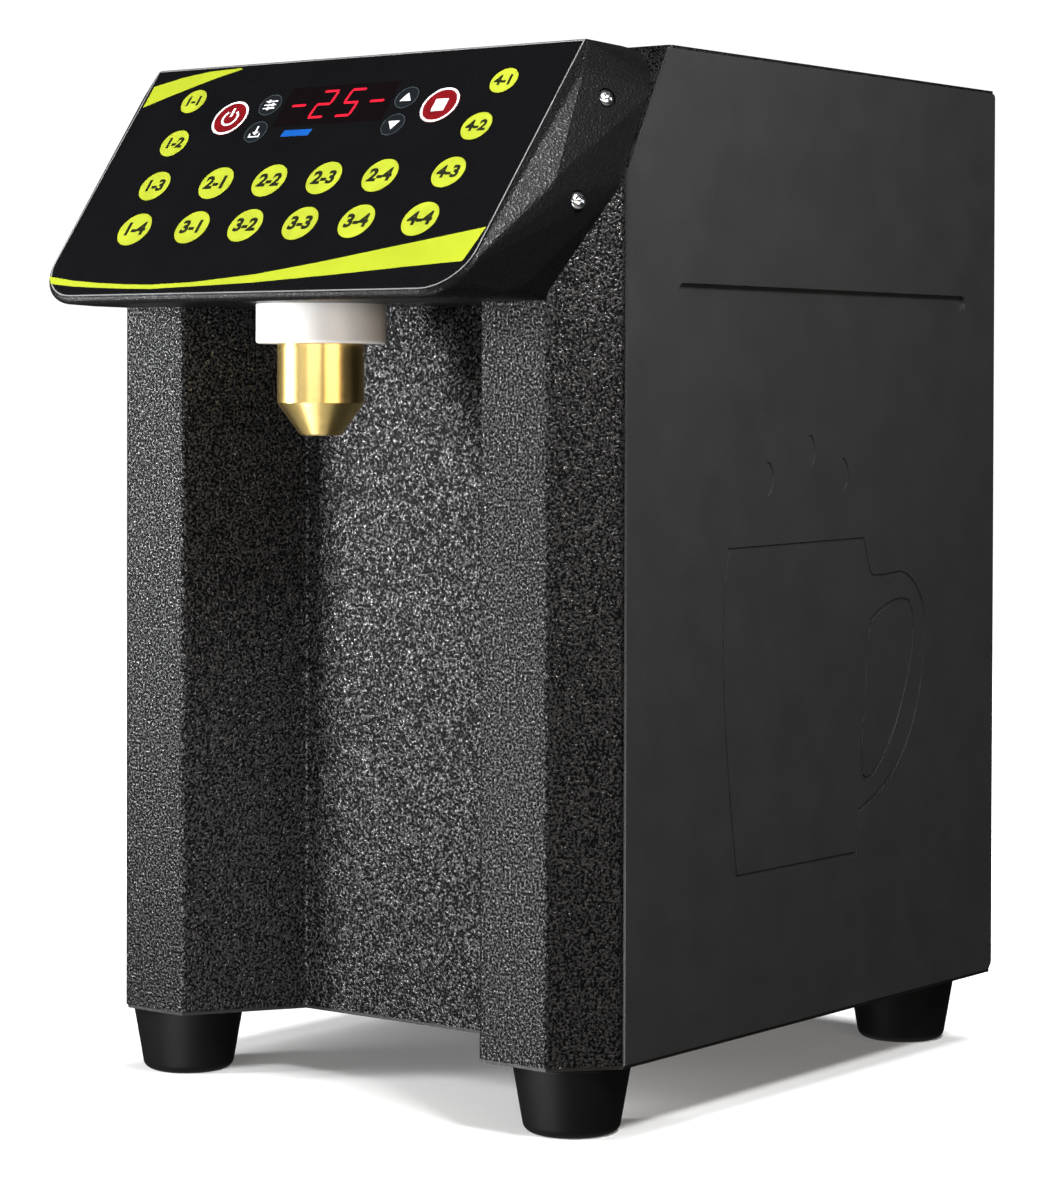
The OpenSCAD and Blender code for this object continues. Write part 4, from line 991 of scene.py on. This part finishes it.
@dataclass
class Display:
    """Lit figures of the four-digit display.

    Args:
        height: Height of a figure.
        width: Width of a figure.
        stroke: Width of a segment.
        slant: Lean of the figures, in degrees.
        middle: Distance of the figures' middle from the face's top edge.
        gap: Gap between two segments.
        ink: Thickness of the segments.
        shown: Middle of each figure from the face's middle, with the figure.
        segments: Letters of each figure's segments, a at the top and g in the middle.
    """

    height: float = 15.3
    width: float = 8.4
    stroke: float = 1.25
    slant: float = 9.0
    middle: float = 25.0
    gap: float = 0.25
    ink: float = 0.05
    shown: tuple[tuple[float, str], ...] = ((-20.4, "-"), (-7.0, "2"), (7.6, "5"), (21.4, "-"))
    segments: dict[str, str] = field(
        default_factory=lambda: {"-": "g", "2": "abged", "5": "afgcd"})

    def segment(self, letter: str) -> list[Point]:
        """Draws one segment.

        Args:
            letter: Which segment, from a to g.

        Returns:
            Its outline about the figure's middle.
        """
        w, h, t = self.width / 2, self.height / 2, self.stroke / 2
        if letter in "agd":
            y = {"a": h - t, "g": 0.0, "d": -h + t}[letter]
            end = w - t - self.gap
            return [(-end - t, y), (-end, y - t), (end, y - t),
                    (end + t, y), (end, y + t), (-end, y + t)]
        x = (w - t) * (1 if letter in "bc" else -1)
        low, high = (0.0, h - t) if letter in "bf" else (-h + t, 0.0)
        low, high = low + self.gap, high - self.gap
        return [(x, low), (x + t, low + t), (x + t, high - t),
                (x, high), (x - t, high - t), (x - t, low + t)]

    def build(self) -> bpy.types.Object:
        """Makes the lit segments.

        Returns:
            The piece.
        """
        lean = math.tan(math.radians(self.slant))
        patches = []
        for centre, figure in self.shown:
            for letter in self.segments[figure]:
                points = [(centre + x + y * lean, y) for x, y in self.segment(letter)]
                patches.append(polygon(points))
        piece = inlay("display_figures", patches, CASING.on_face(0, self.middle), self.ink)
        return finish_piece(piece, Coat.SEGMENT, FIXED_BODY)


@dataclass
class FacePrint:
    """Printed stripes and bar of the keypad film, and the lines round the film: painted shade in
    its groove and a painted highlight on its seat's edge.

    Args:
        face_len: Length of the face from its top to its foot.
        half_top: Half the film's width at its top.
        half_foot: Half its width at its foot.
        corner_r: Radius of its lower corners.
        corner_step: Step between the points of a corner, in degrees.
        ink: Height of the print.
        groove: Distances of the edges of the groove's painted shade line from the film's edge.
        seat: Distances of the edges of the painted highlight line on the seat's rounded edge from
            the film's edge.
        lower_top: Upper edge of the lower stripe, as (x, s) points.
        lower_foot: Its lower edge.
        corner_top: Upper edge of the corner stripe.
        corner_foot: Its lower edge.
        blue_bar: Outline of the blue bar about its middle.
        blue_spot: Its middle, as (x, s).
    """

    face_len: float = 123.69
    half_top: float = 113.5
    half_foot: float = 111.2
    corner_r: float = 19.0
    corner_step: int = 9
    ink: float = 0.04
    groove: Point = (-0.65, 0.1)
    seat: Point = (0.15, 0.75)
    lower_top: tuple[Point, ...] = (
        (-110.6, 113.6), (-95.0, 116.2), (-79.2, 117.8), (-64.0, 118.8), (-49.6, 119.3),
        (-27.0, 118.5), (5.1, 115.2), (35.2, 109.9), (64.3, 104.0), (83.3, 100.3), (110.9, 94.6))
    lower_foot: tuple[Point, ...] = (
        (-107.2, 117.6), (-93.0, 119.3), (-77.7, 120.3), (-62.0, 121.1), (-48.3, 121.5),
        (-25.7, 120.7), (7.4, 119.3), (49.2, 116.1), (79.5, 113.4), (107.6, 111.2))
    corner_top: tuple[Point, ...] = ((-112.0, 8.3), (-98.1, 4.3), (-83.5, 1.7), (-65.4, 0.9))
    corner_foot: tuple[Point, ...] = (
        (-111.8, 20.2), (-100.0, 14.9), (-86.1, 9.2), (-76.7, 5.5), (-64.8, 1.7))
    blue_bar: tuple[Point, ...] = ((-7.9, -1.7), (7.1, -1.7), (7.9, 1.7), (-7.1, 1.7))
    blue_spot: Point = (-13.9, 40.2)

    def stripe(self, name: str, top: Sequence[Point], foot: Sequence[Point]) -> None:
        """Makes one stripe between an upper and a lower edge.

        Args:
            name: Name of the piece.
            top: Upper edge from left to right.
            foot: Lower edge from left to right.
        """
        outline = [(x, -s) for x, s in list(foot) + list(reversed(top))]
        piece = inlay(name, [polygon(outline)], CASING.on_face(), self.ink)
        finish_piece(piece, Coat.STRIPE, FIXED_BODY)

    def film_edge(self, out: float) -> list[Point]:
        """Returns the film's outline, moved outwards by a distance.

        Args:
            out: Distance outwards, in millimetres.

        Returns:
            Points on the face, anticlockwise from the upper right corner.
        """
        top, low, r = self.half_top + out, -self.face_len - out, self.corner_r + out
        points = [(top, out), (-top, out)]
        for side, first in ((-1, 180), (1, 270)):
            x = side * (self.half_foot + out - r)
            turns = [math.radians(first + a) for a in range(0, 91, self.corner_step)]
            points += [(x + r * math.cos(t), low + r + r * math.sin(t)) for t in turns]
        return points

    def edge_line(self, name: str, reach: Point, finish: Finish) -> None:
        """Makes a narrow line round the film: painted shade or a painted highlight.

        Args:
            name: Name of the piece.
            reach: Distances of its edges from the film's edge.
            finish: Its finish.
        """
        inner, outer = (self.film_edge(out) for out in reach)
        count = len(inner)
        faces = [(k, (k + 1) % count, count + (k + 1) % count, count + k) for k in range(count)]
        piece = inlay(name, [(inner + outer, faces)], CASING.on_face(0, 0, -self.ink), self.ink)
        finish_piece(piece, finish, FIXED_BODY)

    def build(self) -> None:
        """Makes the stripes, the painted shade and painted highlight lines round the film, and the
        blue bar with its painted glow.
        """
        # Painted shade in the film's groove.
        self.edge_line("film_groove_shade", self.groove, Coat.PAINTED_SHADE)
        # Painted highlight along the seat's rounded edge.
        self.edge_line("film_seat_highlight", self.seat, Coat.SEAT_HIGHLIGHT)
        self.stripe("lower_stripe", self.lower_top, self.lower_foot)
        self.stripe("corner_stripe", self.corner_top, self.corner_foot)
        # The blue bar is print with a painted glow.
        piece = inlay("blue_bar", [polygon(self.blue_bar)], CASING.on_face(*self.blue_spot),
                      self.ink)
        finish_piece(piece, Coat.BLUE_BAR_GLOW, FIXED_BODY)


# ---------- Studio ----------


@dataclass(frozen=True)
class Softbox:
    """A rectangular soft light that points at the dispenser.

    Args:
        name: Name of the light.
        spot: Where it stands, in metres.
        size: Width and height, in metres.
        watts: Its power.
        aim: Point it looks at, in metres.
        colour: Its tint.
        mirrored: Whether glossy surfaces show its reflection.
    """

    name: str
    spot: Triple
    size: Point
    watts: float
    aim: Triple
    colour: Colour = (1.0, 1.0, 1.0)
    mirrored: bool = True

    def build(self) -> None:
        """Makes the light."""
        light = bpy.data.lights.new(self.name, "AREA")
        light.shape = "RECTANGLE"
        light.size, light.size_y = self.size
        light.energy = self.watts
        light.color = self.colour
        lamp = bpy.data.objects.new(self.name, light)
        lamp.visible_camera = False
        lamp.visible_glossy = self.mirrored
        lamp.location = self.spot
        way = Vector(self.aim) - Vector(self.spot)
        lamp.rotation_euler = way.to_track_quat("-Z", "Y").to_euler()
        bpy.context.scene.collection.objects.link(lamp)


@dataclass
class Studio:
    """Pale floor, white surroundings, soft lights and the camera.

    Args:
        spot: Where the camera stands, in millimetres.
        azimuth: Its turn to the left of +Y, in degrees.
        pitch: How far it looks down, in degrees.
        roll: Its roll, in degrees.
        focal: Focal length, in pixels of the photograph.
        frame_size: Width and height of the photograph, in pixels.
        axis_row: Row of the photograph that the lens axis meets.
        clip: Nearest and farthest distance that the camera sees, in metres.
        floor_reach: Half the floor's width, in metres.
        sky: Brightness from straight below, at 0, to straight above, at 1.
        front_span: The lighting direction's Y at the two ends of its fall.
        front_fall: Strength of the surroundings at those two ends.
        lights: The soft lights.
    """

    spot: Triple = (902.53, -1174.565, 292.25)
    azimuth: float = 37.415
    pitch: float = 0.841
    roll: float = 0.162
    focal: float = 3386.4
    frame_size: tuple[int, int] = (1054, 1200)
    axis_row: float = 442.65
    clip: Point = (0.05, 60.0)
    floor_reach: float = 12.0
    sky: tuple[Point, ...] = ((0.0, 0.8), (0.15, 0.5), (0.3, 0.06), (0.46, 0.04), (0.52, 0.1),
                              (0.75, 0.04), (1.0, 0.04))
    front_span: Point = (-0.9, 0.5)
    front_fall: Point = (1.0, 0.5)
    lights: tuple[Softbox, ...] = (
        Softbox("left softbox", (-0.48, -0.56, 0.29), (0.12, 0.4), 8.0, (-0.06, -0.13, 0.22)),
        Softbox("low card", (0.0, -0.42, 0.03), (0.24, 0.3), 1.5, (0.0, -0.1, 0.33)),
        Softbox("front strip", (0.56, -1.5, 0.37), (1.0, 0.14), 2.2, FRONT_AIM),
        Softbox("dim strip", (-0.2, -1.5, 0.37), (0.5, 0.14), 0.4, FRONT_AIM),
        Softbox("warm card", (1.4, -0.63, 0.37), (1.0, 0.2), 4.0, FRONT_AIM, (1.0, 0.8, 0.62)),
        Softbox("top softbox", (-0.1, 0.75, 1.9), (1.2, 1.2), 62.0, (0.0, 0.0, 0.0),
                mirrored=False),
        Softbox("right softbox", (0.5, -0.3, 0.7), (0.16, 0.16), 6.5, (0.13, -0.08, 0.42)),
    )

    def camera(self) -> None:
        """Makes the camera at the photograph's viewing angle."""
        turn, down, roll = (math.radians(a) for a in (self.azimuth, self.pitch, self.roll))
        ahead = Vector((-math.sin(turn) * math.cos(down), math.cos(turn) * math.cos(down),
                        -math.sin(down)))
        right = Vector((math.cos(turn), math.sin(turn), 0.0))
        up = right.cross(ahead)
        across = right * math.cos(roll) + up * math.sin(roll)
        rise = up * math.cos(roll) - right * math.sin(roll)
        lens = bpy.data.cameras.new("camera")
        lens.lens = self.focal * lens.sensor_width / self.frame_size[1]
        lens.shift_y = (self.axis_row - self.frame_size[1] / 2) / self.frame_size[1]
        lens.clip_start, lens.clip_end = self.clip
        camera = bpy.data.objects.new("camera", lens)
        turned = Matrix((across, rise, -ahead)).transposed().to_4x4()
        camera.matrix_world = Matrix.Translation(Vector(self.spot) * MM) @ turned
        bpy.context.scene.collection.objects.link(camera)
        bpy.context.scene.camera = camera

    def floor(self) -> None:
        """Makes the pale floor."""
        mesh = bpy.data.meshes.new("floor")
        turns = ((-1, -1), (1, -1), (1, 1), (-1, 1))
        corners = [(x * self.floor_reach, y * self.floor_reach, 0) for x, y in turns]
        mesh.from_pydata(corners, [], [(0, 1, 2, 3)])
        floor = bpy.data.objects.new("floor", mesh)
        bpy.context.scene.collection.objects.link(floor)
        mesh.materials.append(Coat.FLOOR.make())
        floor.visible_glossy = False
        floor.visible_diffuse = False

    def surroundings(self) -> None:
        """Makes the sky white for the camera and a soft gradient for the lighting."""
        world = bpy.data.worlds.new("studio")
        world.use_nodes = True
        tree = world.node_tree
        tree.nodes.clear()
        place = tree.nodes.new("ShaderNodeTexCoord")
        split = tree.nodes.new("ShaderNodeSeparateXYZ")
        tree.links.new(place.outputs["Generated"], split.inputs["Vector"])
        rise = ramp(tree, split.outputs["Z"], (-1.0, 1.0), 0.0, 1.0)
        shade = tree.nodes.new("ShaderNodeValToRGB")
        levels = shade.color_ramp.elements
        for position, _ in self.sky[1:-1]:
            levels.new(position)
        for element, (_, level) in zip(levels, self.sky):
            element.color = (level, level, level, 1.0)
        tree.links.new(rise, shade.inputs["Fac"])
        front = ramp(tree, split.outputs["Y"], self.front_span, *self.front_fall)
        soft = tree.nodes.new("ShaderNodeBackground")
        tree.links.new(shade.outputs["Color"], soft.inputs["Color"])
        tree.links.new(front, soft.inputs["Strength"])
        white = tree.nodes.new("ShaderNodeBackground")
        white.inputs["Color"].default_value = WHITE
        white.inputs["Strength"].default_value = WHITE_GLOW
        rays = tree.nodes.new("ShaderNodeLightPath")
        join = tree.nodes.new("ShaderNodeMixShader")
        tree.links.new(rays.outputs["Is Camera Ray"], join.inputs["Fac"])
        tree.links.new(soft.outputs["Background"], join.inputs[1])
        tree.links.new(white.outputs["Background"], join.inputs[2])
        out = tree.nodes.new("ShaderNodeOutputWorld")
        tree.links.new(join.outputs["Shader"], out.inputs["Surface"])
        bpy.context.scene.world = world

    def build(self) -> None:
        """Makes the whole studio."""
        self.camera()
        self.floor()
        self.surroundings()
        for light in self.lights:
            light.build()
        bpy.context.scene.view_settings.view_transform = "Standard"


def main() -> None:
    """Builds the dispenser's looks in order and reports each part."""
    logging.basicConfig(level=logging.INFO, format="%(name)s: %(message)s")
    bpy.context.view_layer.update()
    Studio().build()
    LOG.info("studio made")
    LOG.info("%d solids dressed", SolidParts().build())
    CrossScrews("console_screw_heads", "console_screws", head_d=7.0, shank_d=3.4, length=6.0,
                places=console_screw_places()).build()
    CrossScrews("rear_screw_heads", "panel_screws", head_d=6.4, shank_d=3.2, length=3.6,
                places=rear_screw_places(), recess_w=0.85).build()
    LOG.info("screws made")
    FacePrint().build()
    LOG.info("face print made")
    LOG.info("legends of %d keys made", Keys().build())
    Display().build()
    LOG.info("display made")


if __name__ == "__main__":
    main()
